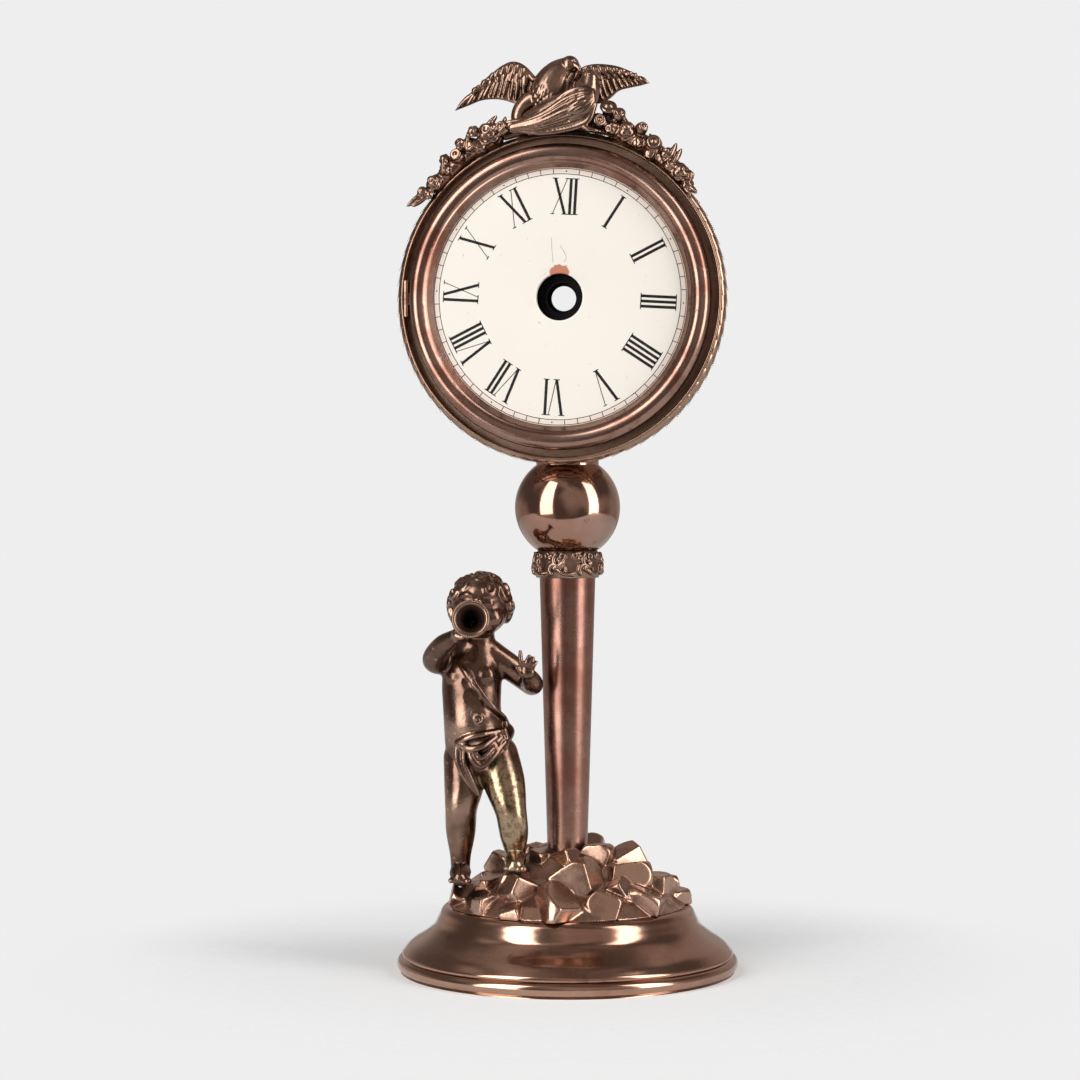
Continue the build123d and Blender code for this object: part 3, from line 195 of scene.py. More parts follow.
class NodeDesk:
    """Adds nodes to a shader tree and joins them."""

    def __init__(self, tree: bpy.types.NodeTree) -> None:
        """Work on a tree, emptied first."""
        self.tree = tree
        tree.nodes.clear()

    def feed(self, socket: bpy.types.NodeSocket, value: object) -> None:
        """Set a socket to a value, or join it to another socket.

        Args:
            socket: the input to feed.
            value: a value, or the socket that it comes from.
        """
        if isinstance(value, bpy.types.NodeSocket):
            self.tree.links.new(value, socket)
        else:
            socket.default_value = value

    def add(self, kind: str, settings: dict | None = None, **sockets: object) -> bpy.types.Node:
        """Add a node.

        Args:
            kind: its type, without the leading ShaderNode.
            settings: its own properties.
            sockets: inputs by name, with an underscore for each space.

        Returns:
            The node.
        """
        node = self.tree.nodes.new(f"ShaderNode{kind}")
        for name, value in (settings or {}).items():
            setattr(node, name, value)
        for name, value in sockets.items():
            self.feed(node.inputs[name.replace("_", " ")], value)
        return node

    def place(self) -> bpy.types.NodeSocket:
        """Coordinates in metres in the part's own frame."""
        return self.add("TexCoord").outputs["Object"]

    def math(self, operation: str, *values: object) -> bpy.types.NodeSocket:
        """Value of a Math node.

        Args:
            operation: what it does.
            values: its inputs in order.

        Returns:
            Its result.
        """
        node = self.add("Math", {"operation": operation})
        for socket, value in zip(node.inputs, values):
            self.feed(socket, value)
        return node.outputs[0]

    def times(self, first: object, second: object) -> bpy.types.NodeSocket:
        """Product of two values."""
        return self.math("MULTIPLY", first, second)

    def plus(self, value: object, share: object, rest: object) -> bpy.types.NodeSocket:
        """A share of a value on top of the rest."""
        return self.math("MULTIPLY_ADD", value, share, rest)

    def blend(self, share: object, low: object, high: object) -> bpy.types.NodeSocket:
        """Colour between two colours.

        Args:
            share: 0 for the first colour, 1 for the second.
            low: the first colour.
            high: the second colour.

        Returns:
            The mixed colour.
        """
        node = self.add("Mix", {"data_type": "RGBA"})
        for place, value in ((0, share), (6, low), (7, high)):
            self.feed(node.inputs[place], value)
        return node.outputs[2]

    def ramp(self, value: object, low: float, high: float, top: object = 1.0) -> bpy.types.NodeSocket:
        """Smooth step of a value from 0 at low to top at high."""
        smooth = {"interpolation_type": "SMOOTHSTEP"}
        return self.add("MapRange", smooth, Value=value, From_Min=low, From_Max=high, To_Max=top).outputs[0]

    def noise(
        self, place: object, scale: object, detail: float = 4.0, rough: float = 0.55
    ) -> bpy.types.NodeSocket:
        """Value of a noise texture."""
        return self.add("TexNoise", Vector=place, Scale=scale, Detail=detail, Roughness=rough).outputs[0]

    def stretched(self, place: object, scale: Triple, turn: Triple = (0, 0, 0)) -> bpy.types.NodeSocket:
        """Coordinates turned and then scaled, for a grain that runs one way.

        Args:
            place: the coordinates.
            scale: how fine the grain is along each axis.
            turn: how the grain is turned.

        Returns:
            The new coordinates.
        """
        tiny = tuple(1 / size for size in scale)
        kind = {"vector_type": "TEXTURE"}
        return self.add("Mapping", kind, Vector=place, Scale=tiny, Rotation=turn).outputs[0]


def new_material(name: str) -> tuple[bpy.types.Material, NodeDesk]:
    """Empty material and the desk to build it on.

    Args:
        name: name of the material.

    Returns:
        The material and its desk.
    """
    made = bpy.data.materials.new(name)
    made.use_nodes = True
    return made, NodeDesk(made.node_tree)


SURFACE = {"Color": "NodeSocketColor", "Roughness": "NodeSocketFloat", "Height": "NodeSocketFloat"}


def start_group(name: str, colours: tuple[str, ...], values: tuple[str, ...]) -> tuple[NodeDesk, dict, dict]:
    """Begin a shader node group that gives a surface its colour, roughness and height.

    Args:
        name: name of the group.
        colours: labels of its colour inputs.
        values: labels of its number inputs.

    Returns:
        The desk, the inputs to read and the outputs to feed, both by label.
    """
    tree = bpy.data.node_groups.new(name, "ShaderNodeTree")
    kinds = dict.fromkeys(colours, "NodeSocketColor") | dict.fromkeys(values, "NodeSocketFloat")
    for label, kind in kinds.items():
        tree.interface.new_socket(label, in_out="INPUT", socket_type=kind)
    for label, kind in SURFACE.items():
        tree.interface.new_socket(label, in_out="OUTPUT", socket_type=kind)
    desk = NodeDesk(tree)
    source = tree.nodes.new("NodeGroupInput").outputs
    target = tree.nodes.new("NodeGroupOutput").inputs
    return desk, {label: source[label] for label in kinds}, {label: target[label] for label in SURFACE}


@cache
def plate_wear() -> bpy.types.NodeTree:
    """Worn plating: broad patches where the copper shows, brown stains, scratches and small dents.

    Returns:
        The node group, made once.
    """
    values = ("Patch Scale", "Patch Amount", "Stain Amount", "Roughness")
    desk, given, out = start_group("plate_wear", ("Base", "Patch", "Stain"), values)
    place = desk.place()
    broad = desk.noise(place, given["Patch Scale"], 5.0, 0.62)
    patch = desk.times(desk.ramp(broad, 0.44, 0.62), given["Patch Amount"])
    spots = desk.noise(place, desk.times(given["Patch Scale"], 4.3), 6.0, 0.68)
    stain = desk.times(desk.ramp(spots, 0.58, 0.72), given["Stain Amount"])
    grain = desk.noise(place, 1500.0, 2.0)
    drift = desk.add("VectorMath", {"operation": "MULTIPLY_ADD"})
    desk.feed(drift.inputs[0], desk.add("TexNoise", Vector=place, Scale=26.0, Detail=1.0).outputs["Color"])
    drift.inputs[1].default_value = (0.016, 0.016, 0.016)
    desk.feed(drift.inputs[2], place)
    hair = desk.noise(desk.stretched(drift.outputs[0], (34, 34, 1500), (0.7, 0.5, 0.2)), 1.0, 2.0)
    scratch = desk.ramp(hair, 0.67, 0.76)
    tone = desk.blend(patch, given["Base"], given["Patch"])
    tone = desk.blend(stain, tone, given["Stain"])
    tone = desk.blend(desk.ramp(grain, 0.3, 0.7, 0.12), tone, given["Stain"])
    tone = desk.blend(desk.times(scratch, 0.22), tone, (0.62, 0.46, 0.37, 1))
    desk.feed(out["Color"], tone)
    dull = desk.plus(stain, 0.2, given["Roughness"])
    dull = desk.plus(patch, 0.04, dull)
    dull = desk.plus(scratch, 0.1, dull)
    desk.feed(out["Roughness"], desk.plus(desk.noise(place, 220.0), 0.05, dull))
    dents = desk.noise(place, 75.0, 2.0, 0.4)
    height = desk.plus(scratch, -0.06, desk.times(dents, 0.4))
    desk.feed(out["Height"], desk.plus(stain, -0.08, height))
    return desk.tree


@cache
def cast_relief() -> bpy.types.NodeTree:
    """Cast metal: dark tarnish and painted shade in the hollows, rubbed high places and a sandy skin.

    Returns:
        The node group, made once.
    """
    values = ("Hollow Amount", "Rubbed Amount", "Roughness")
    desk, given, out = start_group("cast_relief", ("Base", "Hollow", "Rubbed"), values)
    place = desk.place()
    # Ambient occlusion darkens the colour where the surface is enclosed: painted shade in the hollows, on top
    # of their dark tarnish.
    open_sky = desk.add("AmbientOcclusion", {"samples": 8}, Distance=0.005).outputs["AO"]
    shade = desk.math("SUBTRACT", 1.0, desk.ramp(open_sky, 0.25, 0.85))
    edge = desk.add("NewGeometry").outputs["Pointiness"]
    mottle = desk.noise(place, 130.0, 5.0, 0.65)
    hollow = desk.times(shade, given["Hollow Amount"])
    rub = desk.times(desk.ramp(edge, 0.505, 0.58), desk.ramp(mottle, 0.3, 0.6))
    rubbed = desk.times(rub, given["Rubbed Amount"])
    tone = desk.blend(desk.ramp(mottle, 0.45, 0.7, 0.45), given["Base"], given["Hollow"])
    tone = desk.blend(desk.ramp(desk.noise(place, 45.0, 3.0), 0.5, 0.65, 0.4), tone, given["Rubbed"])
    tone = desk.blend(rubbed, tone, given["Rubbed"])
    desk.feed(out["Color"], desk.blend(hollow, tone, given["Hollow"]))
    dull = desk.plus(hollow, 0.35, given["Roughness"])
    dull = desk.plus(rubbed, -0.08, dull)
    desk.feed(out["Roughness"], desk.plus(desk.ramp(mottle, 0.4, 0.7), 0.12, dull))
    skin = desk.noise(place, 900.0, 3.0)
    desk.feed(out["Height"], desk.plus(skin, 0.18, desk.times(mottle, 0.4)))
    return desk.tree


@cache
def brushed_grain() -> bpy.types.NodeTree:
    """Fine brushing along one direction with a little tarnish.

    Returns:
        The node group, made once.
    """
    desk, given, out = start_group("brushed_grain", ("Base", "Tarnish"), ("Amount", "Roughness"))
    place = desk.place()
    brush = desk.noise(desk.stretched(place, (40, 40, 3200)), 1.0, 3.0)
    cloud = desk.noise(place, 90.0, 4.0)
    share = desk.times(desk.ramp(cloud, 0.42, 0.7), given["Amount"])
    tone = desk.blend(share, given["Base"], given["Tarnish"])
    desk.feed(out["Color"], desk.blend(desk.ramp(brush, 0.3, 0.7, 0.12), tone, given["Tarnish"]))
    desk.feed(out["Roughness"], desk.plus(brush, 0.16, given["Roughness"]))
    desk.feed(out["Height"], desk.times(brush, 0.3))
    return desk.tree


@dataclass(frozen=True)
class Finish:
    """A surface: its material slot and how rough and deep its detail is."""

    name: str
    slot: Slot
    roughness: float = 0.2
    depth: float = 0.0002

    def dress(self, desk: NodeDesk, shader: bpy.types.Node) -> None:
        """Feed the shader; each kind of finish has its own way."""
        raise NotImplementedError

    @cache
    def material(self) -> bpy.types.Material:
        """The finished material, made once.

        Returns:
            The material.
        """
        made, desk = new_material(self.name)
        shader = desk.add("BsdfPrincipled")
        target = desk.add("OutputMaterial", Surface=shader.outputs[0])
        target.is_active_output = True
        self.dress(desk, shader)
        return made


@dataclass(frozen=True)
class Metal(Finish):
    """Metal dressed by a node group whose inputs are the finish's fields of the same names."""

    def wear(self) -> bpy.types.NodeTree:
        """The group; each kind of metal has its own."""
        raise NotImplementedError

    def tint(self, desk: NodeDesk, colour: bpy.types.NodeSocket) -> bpy.types.NodeSocket:
        """The group's colour as it is; a kind of metal may change it."""
        return colour

    def dress(self, desk: NodeDesk, shader: bpy.types.Node) -> None:
        """Feed the shader from the group.

        Args:
            desk: the material's desk.
            shader: its principled shader.
        """
        shader.inputs["Metallic"].default_value = 1.0
        group = desk.add("Group", {"node_tree": self.wear()})
        for socket in group.inputs:
            socket.default_value = getattr(self, socket.name.lower().replace(" ", "_"))
        desk.feed(shader.inputs["Base Color"], self.tint(desk, group.outputs["Color"]))
        desk.feed(shader.inputs["Roughness"], group.outputs["Roughness"])
        bump = desk.add("Bump", Strength=0.5, Distance=self.depth, Height=group.outputs["Height"])
        desk.feed(shader.inputs["Normal"], bump.outputs[0])


@dataclass(frozen=True)
class PlatedMetal(Metal):
    """Worn silver plate over copper and brass."""

    base: Colour = (0.4, 0.255, 0.2, 1)
    patch: Colour = (0.35, 0.19, 0.135, 1)
    stain: Colour = (0.12, 0.055, 0.04, 1)
    patch_scale: float = 34.0
    patch_amount: float = 0.75
    stain_amount: float = 0.6

    def wear(self) -> bpy.types.NodeTree:
        """Wear of the plate."""
        return plate_wear()


@dataclass(frozen=True)
class CastMetal(Metal):
    """Cast ornament, tarnished and with painted shade in the hollows; a piece's own mask can lay bare brass
    on it.
    """

    base: Colour = (0.29, 0.18, 0.125, 1)
    # Colour of the hollows, where ambient occlusion paints shade over their dark tarnish.
    hollow: Colour = (0.03, 0.015, 0.011, 1)
    rubbed: Colour = (0.52, 0.35, 0.26, 1)
    hollow_amount: float = 0.9
    rubbed_amount: float = 0.75
    bare: Colour = (0.37, 0.275, 0.17, 1)
    mask: str = ""

    def wear(self) -> bpy.types.NodeTree:
        """Soot and rubbed places of the casting."""
        return cast_relief()

    def tint(self, desk: NodeDesk, colour: bpy.types.NodeSocket) -> bpy.types.NodeSocket:
        """The group's colour, with bare brass where the mask asks for it.

        Args:
            desk: the material's desk.
            colour: the group's colour.

        Returns:
            The colour to use.
        """
        if not self.mask:
            return colour
        share = desk.add("Attribute", {"attribute_name": self.mask}).outputs["Fac"]
        worn = desk.ramp(desk.noise(desk.place(), 420.0, 4.0, 0.7), 0.36, 0.56)
        return desk.blend(desk.times(share, worn), colour, self.bare)


@dataclass(frozen=True)
class BrushedMetal(Metal):
    """Brushed brass or steel of the movement."""

    base: Colour = (0.72, 0.52, 0.24, 1)
    tarnish: Colour = (0.32, 0.2, 0.09, 1)
    amount: float = 0.4

    def wear(self) -> bpy.types.NodeTree:
        """Grain of the brushing."""
        return brushed_grain()


@dataclass(frozen=True)
class Enamel(Finish):
    """Fired enamel: cream with a pink band at the track, faint stains and a chip above the hole."""

    cream: Colour = (0.95, 0.885, 0.795, 1)
    blush: Colour = (0.9, 0.74, 0.63, 1)
    chip: Colour = (0.56, 0.2, 0.115, 1)
    band: Pair = (41.8, 43.2)
    hole: float = 8.05
    humps: tuple[Triple, ...] = ((-1.9, 8.6, 1.5), (1.8, 8.6, 1.7), (-0.2, 7.4, 3.0))

    def dress(self, desk: NodeDesk, shader: bpy.types.Node) -> None:
        """Feed the shader from the place on the dial.

        Args:
            desk: the material's desk.
            shader: its principled shader.
        """
        shader.inputs["Coat Weight"].default_value = 0.35
        shader.inputs["Coat Roughness"].default_value = 0.08
        place = desk.place()
        axes = desk.add("SeparateXYZ", Vector=place).outputs
        wide = desk.math("DIVIDE", axes["X"], MM)
        high = desk.math("DIVIDE", desk.math("SUBTRACT", axes["Z"], DRUM_Z * MM), MM)
        ring = self.distance(desk, wide, high)
        cloud = desk.noise(place, 38.0, 4.0)
        pink = desk.times(desk.ramp(ring, *self.band), 0.75)
        stain = desk.times(desk.ramp(cloud, 0.46, 0.7, 0.42), desk.ramp(ring, 34.0, 10.0))
        near_hole = desk.ramp(ring, self.hole + 3.6, self.hole + 2.9)
        rim = desk.times(near_hole, desk.ramp(cloud, 0.42, 0.6, 0.12))
        tone = desk.blend(desk.math("MAXIMUM", pink, stain), self.cream, self.blush)
        tone = desk.blend(rim, tone, (0.72, 0.6, 0.5, 1))
        speck = desk.ramp(desk.noise(place, 520.0, 2.0), 0.71, 0.76, 0.5)
        tone = desk.blend(speck, tone, (0.6, 0.47, 0.36, 1))
        ragged = desk.plus(desk.noise(place, 900.0, 3.0), 1.4, -0.7)
        inside = None
        for x, z, radius in self.humps:
            rise = desk.times(desk.math("SUBTRACT", high, z), 0.8)
            near = self.distance(desk, desk.math("SUBTRACT", wide, x), rise)
            bite = desk.ramp(desk.math("ADD", near, ragged), radius + 0.15, radius - 0.15)
            inside = bite if inside is None else desk.math("MAXIMUM", inside, bite)
        desk.feed(shader.inputs["Base Color"], desk.blend(inside, tone, self.chip))
        desk.feed(shader.inputs["Roughness"], desk.plus(inside, 0.45, self.roughness))
        wave = desk.plus(inside, -1.2, desk.times(cloud, 0.4))
        bump = desk.add("Bump", Strength=0.4, Distance=self.depth, Height=wave)
        desk.feed(shader.inputs["Normal"], bump.outputs[0])

    @staticmethod
    def distance(desk: NodeDesk, wide: object, high: object) -> bpy.types.NodeSocket:
        """Length of a flat vector."""
        return desk.math("SQRT", desk.plus(wide, wide, desk.times(high, high)))


@dataclass(frozen=True)
class Ink(Finish):
    """Fired black paint, a little thin in places."""

    black: Colour = (0.008, 0.006, 0.006, 1)
    thin: Colour = (0.03, 0.021, 0.018, 1)

    def dress(self, desk: NodeDesk, shader: bpy.types.Node) -> None:
        """Feed the shader from a fine cloud.

        Args:
            desk: the material's desk.
            shader: its principled shader.
        """
        shader.inputs["Specular IOR Level"].default_value = 0.25
        place = desk.place()
        cloud = desk.noise(place, 700.0, 3.0)
        desk.feed(shader.inputs["Base Color"], desk.blend(desk.ramp(cloud, 0.5, 0.75), self.black, self.thin))
        desk.feed(shader.inputs["Roughness"], desk.plus(cloud, 0.2, self.roughness))


PLATE = PlatedMetal("polished_plate", Slot.PLATE, 0.05)
FOOT_PLATE = PlatedMetal(
    "foot_plate", Slot.PLATE, 0.11, base=(0.47, 0.295, 0.215, 1), stain_amount=0.5, patch_scale=24
)
BEZEL_PLATE = PlatedMetal(
    "bezel_plate", Slot.PLATE, 0.2, base=(0.32, 0.2, 0.155, 1), patch=(0.19, 0.08, 0.055, 1),
    patch_scale=46, patch_amount=0.85,
)
COLUMN_PLATE = PlatedMetal(
    "column_plate", Slot.PLATE, 0.24, base=(0.31, 0.175, 0.135, 1), patch=(0.21, 0.09, 0.066, 1),
    patch_amount=0.9,
)
# The cast finishes below darken their hollows through ambient occlusion: painted shade on top of dark
# tarnish.
CAST = CastMetal("cast_ornament", Slot.CAST, 0.2, base=(0.27, 0.17, 0.125, 1))
BORDER = CastMetal("cast_border", Slot.PLATE, 0.2, hollow_amount=0.4, hollow=(0.06, 0.03, 0.022, 1))
FIGURE = CastMetal("cast_figure", Slot.CAST, 0.19, 0.0006, base=(0.155, 0.09, 0.066, 1), mask="bare_brass")
ROCK = CastMetal(
    "cast_rock", Slot.CAST, 0.22, base=(0.46, 0.285, 0.21, 1), rubbed=(0.6, 0.41, 0.31, 1), hollow_amount=0.75
)
# Dark lining for the horn's throat: painted shade, not a finish of the cast metal.
SHADE_LINING = BrushedMetal(
    "sooty_metal", Slot.CAST, 0.34, base=(0.15, 0.09, 0.07, 1), tarnish=(0.05, 0.028, 0.02, 1)
)
BRASS = BrushedMetal("brushed_brass", Slot.BRASS, 0.24)
STEEL = BrushedMetal(
    "bright_steel", Slot.STEEL, 0.22, base=(0.5, 0.49, 0.48, 1), tarnish=(0.3, 0.27, 0.24, 1)
)
# Near-black steel for the parts seen through the dial's hole: a blackened finish, made this dark also to
# paint the shade deep in the hole.
BLACKENED_SHADE = BrushedMetal(
    "blackened_steel", Slot.BLACK, 0.5, base=(0.012, 0.011, 0.011, 1), tarnish=(0.006, 0.005, 0.005, 1)
)
ENAMEL = Enamel("cream_enamel", Slot.ENAMEL, 0.16, 0.0001)
INK = Ink("dial_ink", Slot.BLACK, 0.35)


class Shaper:
    """One mesh in the making: closed shells in millimetres."""

    def __init__(self) -> None:
        """Start with nothing."""
        self.bm = bmesh.new()

    @contextmanager
    def tray(self) -> Iterator[bmesh.types.BMesh]:
        """Small mesh to shape one thing on, which then joins the piece.

        Yields:
            The small mesh.
        """
        small = bmesh.new()
        yield small
        carrier = bpy.data.meshes.new("carrier")
        small.to_mesh(carrier)
        small.free()
        self.bm.from_mesh(carrier)
        bpy.data.meshes.remove(carrier)

    def ball(
        self, centre: Vector | Triple, radii: float | Triple, turn: Matrix | None = None, detail: int = 3
    ) -> None:
        """Add a ball or an egg.

        Args:
            centre: its middle.
            radii: one radius, or one for each of its own axes.
            turn: how it is turned.
            detail: how finely it is divided.
        """
        size = radii if isinstance(radii, tuple) else (radii,) * 3
        place = Matrix.Translation(centre) @ (turn or Matrix.Identity(4)) @ Matrix.Diagonal((*size, 1))
        with self.tray() as lump:
            bmesh.ops.create_icosphere(lump, subdivisions=detail, radius=1, matrix=place)

    def chain(self, points: Sequence, radii: Sequence, parts: int = 9, detail: int = 2) -> None:
        """Add a limb, fold or stem: balls or eggs along a smooth line.

        Args:
            points: places that the line passes.
            radii: at each place one radius, or one for each axis.
            parts: balls between each two places.
            detail: how finely each ball is divided.
        """
        sizes = [Vector(radius if isinstance(radius, tuple) else (radius,) * 3) for radius in radii]
        with self.tray() as lump:
            for centre, size in zip(flow(points, parts), flow(sizes, parts)):
                place = Matrix.Translation(centre) @ Matrix.Diagonal((*size, 1))
                bmesh.ops.create_icosphere(lump, subdivisions=detail, radius=1, matrix=place)

    def hoop(self, centre: Vector, axis: Vector, radius: float, wire: float, count: int = 22) -> None:
        """Add a ring of balls.

        Args:
            centre: its middle.
            axis: the way it faces.
            radius: from its middle to the middle of each ball.
            wire: radius of each ball.
            count: number of balls.
        """
        turn = Matrix.Translation(centre) @ axis.to_track_quat("Z", "Y").to_matrix().to_4x4()
        with self.tray() as lump:
            for k in range(count):
                angle = 2 * pi * k / count
                place = turn @ Matrix.Translation((radius * cos(angle), radius * sin(angle), 0))
                bmesh.ops.create_icosphere(lump, subdivisions=2, radius=wire, matrix=place)

    def leaf(
        self,
        root: Vector,
        tip: Vector,
        face: Vector,
        width: float,
        thick: float,
        taper: float = 0.45,
        fold: float = 0.2,
    ) -> None:
        """Add a blade, as of a leaf or a feather.

        Args:
            root: where it starts.
            tip: where it ends.
            face: the way its broad side looks.
            width: its greatest width.
            thick: its thickness in the middle.
            taper: how much slimmer it is towards the tip.
            fold: how far its edges stand back from its rib.
        """
        length = (tip - root).length
        poles = Matrix.Rotation(pi / 2, 4, "Y")
        place = Matrix.Translation((root + tip) / 2) @ basis(face, tip - root)
        with self.tray() as blade:
            bmesh.ops.create_uvsphere(blade, u_segments=12, v_segments=10, radius=1, matrix=poles)
            for vert in blade.verts:
                x, y, z = vert.co
                slim = 1 - taper * (x + 1) / 2
                drop = fold * abs(y) * width / 2
                vert.co = place @ Vector((x * length / 2, y * slim * width / 2, z * thick / 2 - drop))

    def rose(self, centre: Vector, radius: float, face: Vector) -> None:
        """Add an open rose: a ringed heart and two rows of full, round petals.

        Args:
            centre: its middle.
            radius: its radius.
            face: the way it looks.
        """
        axis = face.normalized()
        side = axis.orthogonal().normalized()
        self.ball(centre, 0.62 * radius)
        self.hoop(centre + 0.6 * radius * axis, axis, 0.3 * radius, 0.12 * radius, 14)
        for row, (count, reach, rise, size) in enumerate(((4, 0.46, 0.36, 0.36), (6, 0.66, -0.02, 0.4))):
            for k in range(count):
                out = Matrix.Rotation(2 * pi * (k + 0.5 * row) / count, 3, axis) @ side
                middle = centre + radius * (reach * out + rise * axis)
                turn = basis(0.55 * out + axis, axis.cross(out))
                self.ball(middle, (size * radius, 0.85 * size * radius, 0.24 * radius), turn)

    def bud(self, centre: Vector, radius: float, face: Vector) -> None:
        """Add a round bud with a ringed eye.

        Args:
            centre: its middle.
            radius: its radius.
            face: the way it looks.
        """
        axis = face.normalized()
        self.ball(centre, 0.86 * radius)
        self.hoop(centre + 0.66 * radius * axis, axis, 0.5 * radius, 0.2 * radius)
        self.ball(centre + 0.72 * radius * axis, 0.27 * radius)

    def trumpet(self, centre: Vector, radius: float, face: Vector) -> None:
        """Add a flower like a small trumpet with a rolled rim.

        Args:
            centre: middle of its mouth.
            radius: its radius.
            face: the way it looks.
        """
        axis = face.normalized()
        self.chain([centre - 1.3 * radius * axis, centre], (0.35 * radius, 0.72 * radius), 7)
        self.hoop(centre + 0.25 * radius * axis, axis, 0.72 * radius, 0.24 * radius)

    def lathe(
        self, profile: list[Pair], segments: int = 160, origin: Triple = (0, 0, 0), axis: Vector = UP
    ) -> None:
        """Turn a closed outline round an axis.

        Args:
            profile: (radius, distance along the axis) of each corner.
            segments: parts of a full turn.
            origin: a point on the axis.
            axis: its direction.
        """
        out = axis.orthogonal().normalized()
        foot = Vector(origin)
        with self.tray() as turned:
            corners = [foot + radius * out + along * axis.normalized() for radius, along in profile]
            verts = [turned.verts.new(corner) for corner in corners]
            edges = [turned.edges.new(pair) for pair in zip(verts, verts[1:] + verts[:1])]
            bmesh.ops.spin(
                turned, geom=verts + edges, cent=foot, axis=axis, angle=2 * pi, steps=segments, use_merge=True
            )
            bmesh.ops.remove_doubles(turned, verts=turned.verts, dist=0.0005)
            bmesh.ops.recalc_face_normals(turned, faces=turned.faces)

    def slab(self, corners: list[Vector], thick: Vector) -> None:
        """Add a flat plate.

        Args:
            corners: corners of its outline in order.
            thick: step from one face to the other.
        """
        with self.tray() as plate:
            face = plate.faces.new([plate.verts.new(corner) for corner in corners])
            grown = bmesh.ops.extrude_face_region(plate, geom=[face], use_keep_orig=True)["geom"]
            lifted = [part for part in grown if isinstance(part, bmesh.types.BMVert)]
            bmesh.ops.translate(plate, vec=thick, verts=lifted)
            bmesh.ops.recalc_face_normals(plate, faces=plate.faces)

    def settle(self, voxel: float, relax: int) -> None:
        """Cast what is there so far into one smooth skin, before finer shapes go on it.

        Args:
            voxel: grain of the cast.
            relax: rounds of smoothing.
        """
        lump = put("settled", bpy.data.meshes.new("settled"))
        self.bm.to_mesh(lump.data)
        cast_whole(lump, voxel, relax)
        self.bm.clear()
        self.bm.from_mesh(lump.data)
        skin = lump.data
        bpy.data.objects.remove(lump)
        bpy.data.meshes.remove(skin)

    def finish(
        self,
        name: str,
        finish: Finish,
        *nodes: str,
        body: Body = Body.CASE,
        voxel: float = 0.0,
        relax: int = 0,
        crease: float = 35.0,
    ) -> bpy.types.Object:
        """Turn the shells into a dressed piece in its place.

        Args:
            name: name of the piece.
            finish: its surface.
            nodes: construction nodes that it stands for.
            body: the body that it rides on.
            voxel: grain at which the shells are cast into one skin; none if 0.
            relax: rounds of smoothing after that.
            crease: angle in degrees above which an edge stays sharp.

        Returns:
            The piece.
        """
        bmesh.ops.scale(self.bm, vec=(MM, MM, MM), verts=self.bm.verts)
        mesh = bpy.data.meshes.new(name)
        self.bm.to_mesh(mesh)
        self.bm.free()
        piece = put(name, mesh)
        if voxel:
            cast_whole(piece, voxel * MM, relax)
        piece.data.shade_smooth()
        piece.data.set_sharp_from_angle(angle=pi if voxel else radians(crease))
        piece.data.materials.append(finish.material())
        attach(piece, body.value)
        if nodes:
            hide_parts(*nodes)
        LOG.info("%s: %d faces, in %s", name, len(piece.data.polygons), finish.name)
        return piece


def cast_whole(piece: bpy.types.Object, voxel: float, relax: int) -> None:
    """Cast overlapping shells into one smooth skin, and keep it as the piece's own mesh.

    Args:
        piece: the object with the shells.
        voxel: grain of the cast, in the units of its mesh.
        relax: rounds of smoothing.
    """
    remesh = piece.modifiers.new("cast", "REMESH")
    remesh.mode = "VOXEL"
    remesh.voxel_size = voxel
    if relax:
        smooth = piece.modifiers.new("relax", "SMOOTH")
        smooth.factor = 0.5
        smooth.iterations = relax
    rough = piece.data
    graph = bpy.context.evaluated_depsgraph_get()
    piece.data = bpy.data.meshes.new_from_object(piece.evaluated_get(graph))
    piece.modifiers.clear()
    piece.data.name = piece.name
    bpy.data.meshes.remove(rough)


def press(piece: bpy.types.Object, marks: Iterable[tuple[Triple, float, float]]) -> None:
    """Push the skin in, or out where the depth is negative, round some points.

    Args:
        piece: the piece to shape.
        marks: (point, radius, depth) of each mark in millimetres.
    """
    mesh = piece.data
    tree = nearby(vert.co for vert in mesh.vertices)
    for point, radius, depth in marks:
        for _, index, gap in tree.find_range(Vector(point) * MM, radius * MM):
            vert = mesh.vertices[index]
            vert.co -= vert.normal * depth * MM * (1 - (gap / (radius * MM)) ** 2) ** 2
    mesh.update()


@dataclass
class Foot:
    """Spun foot: a stepped rim, a hollow flank and a rounded shoulder.

    The flank's points are given in from the rim and up, the shoulder's out from the top's edge and down.
    """

    rim: float = 59.8
    top: float = 42.8
    wall: float = 1.4
    bore: float = 3.0
    bead: Pair = (1.9, 2.3)
    bead_z: float = 2.9
    flank: tuple[Pair, ...] = ((1.9, 6.7), (4.6, 9.6), (9.4, 12.8))
    shoulder: tuple[Pair, ...] = ((4.2, 7.3), (2.5, 4.2), (1.2, 1.5), (-0.4, 0.2), (-2.0, 0.0))

    def build(self) -> None:
        """Turn the foot."""
        corners = [(self.rim - inset, rise, 0) for inset, rise in self.flank]
        corners += [(self.top + beyond, FOOT_TOP - drop, 0) for beyond, drop in self.shoulder]
        flank = [(point.x, point.y) for point in flow(corners, 7)]
        bead = arc((self.rim - self.bead[0], self.bead_z), self.bead, -0.45 * pi, pi / 9, 9)
        outer = [(self.rim - 2.6, 0), (self.rim - 1.2, 0), *bead]
        outer += [(self.rim - 2.3, 5.5), (self.rim - 2.3, 6.0), (self.rim - 1.8, 6.2), *flank]
        inner = [(radius - self.wall, max(rise - self.wall, 4.0)) for radius, rise in reversed(flank)]
        hole = [(self.bore, FOOT_TOP), (self.bore, FOOT_TOP - self.wall)]
        shape = Shaper()
        shape.lathe([*outer, *hole, *inner, (self.rim - 3.2, 1.0)], 192)
        shape.finish("foot_shell", FOOT_PLATE, "base_foot")


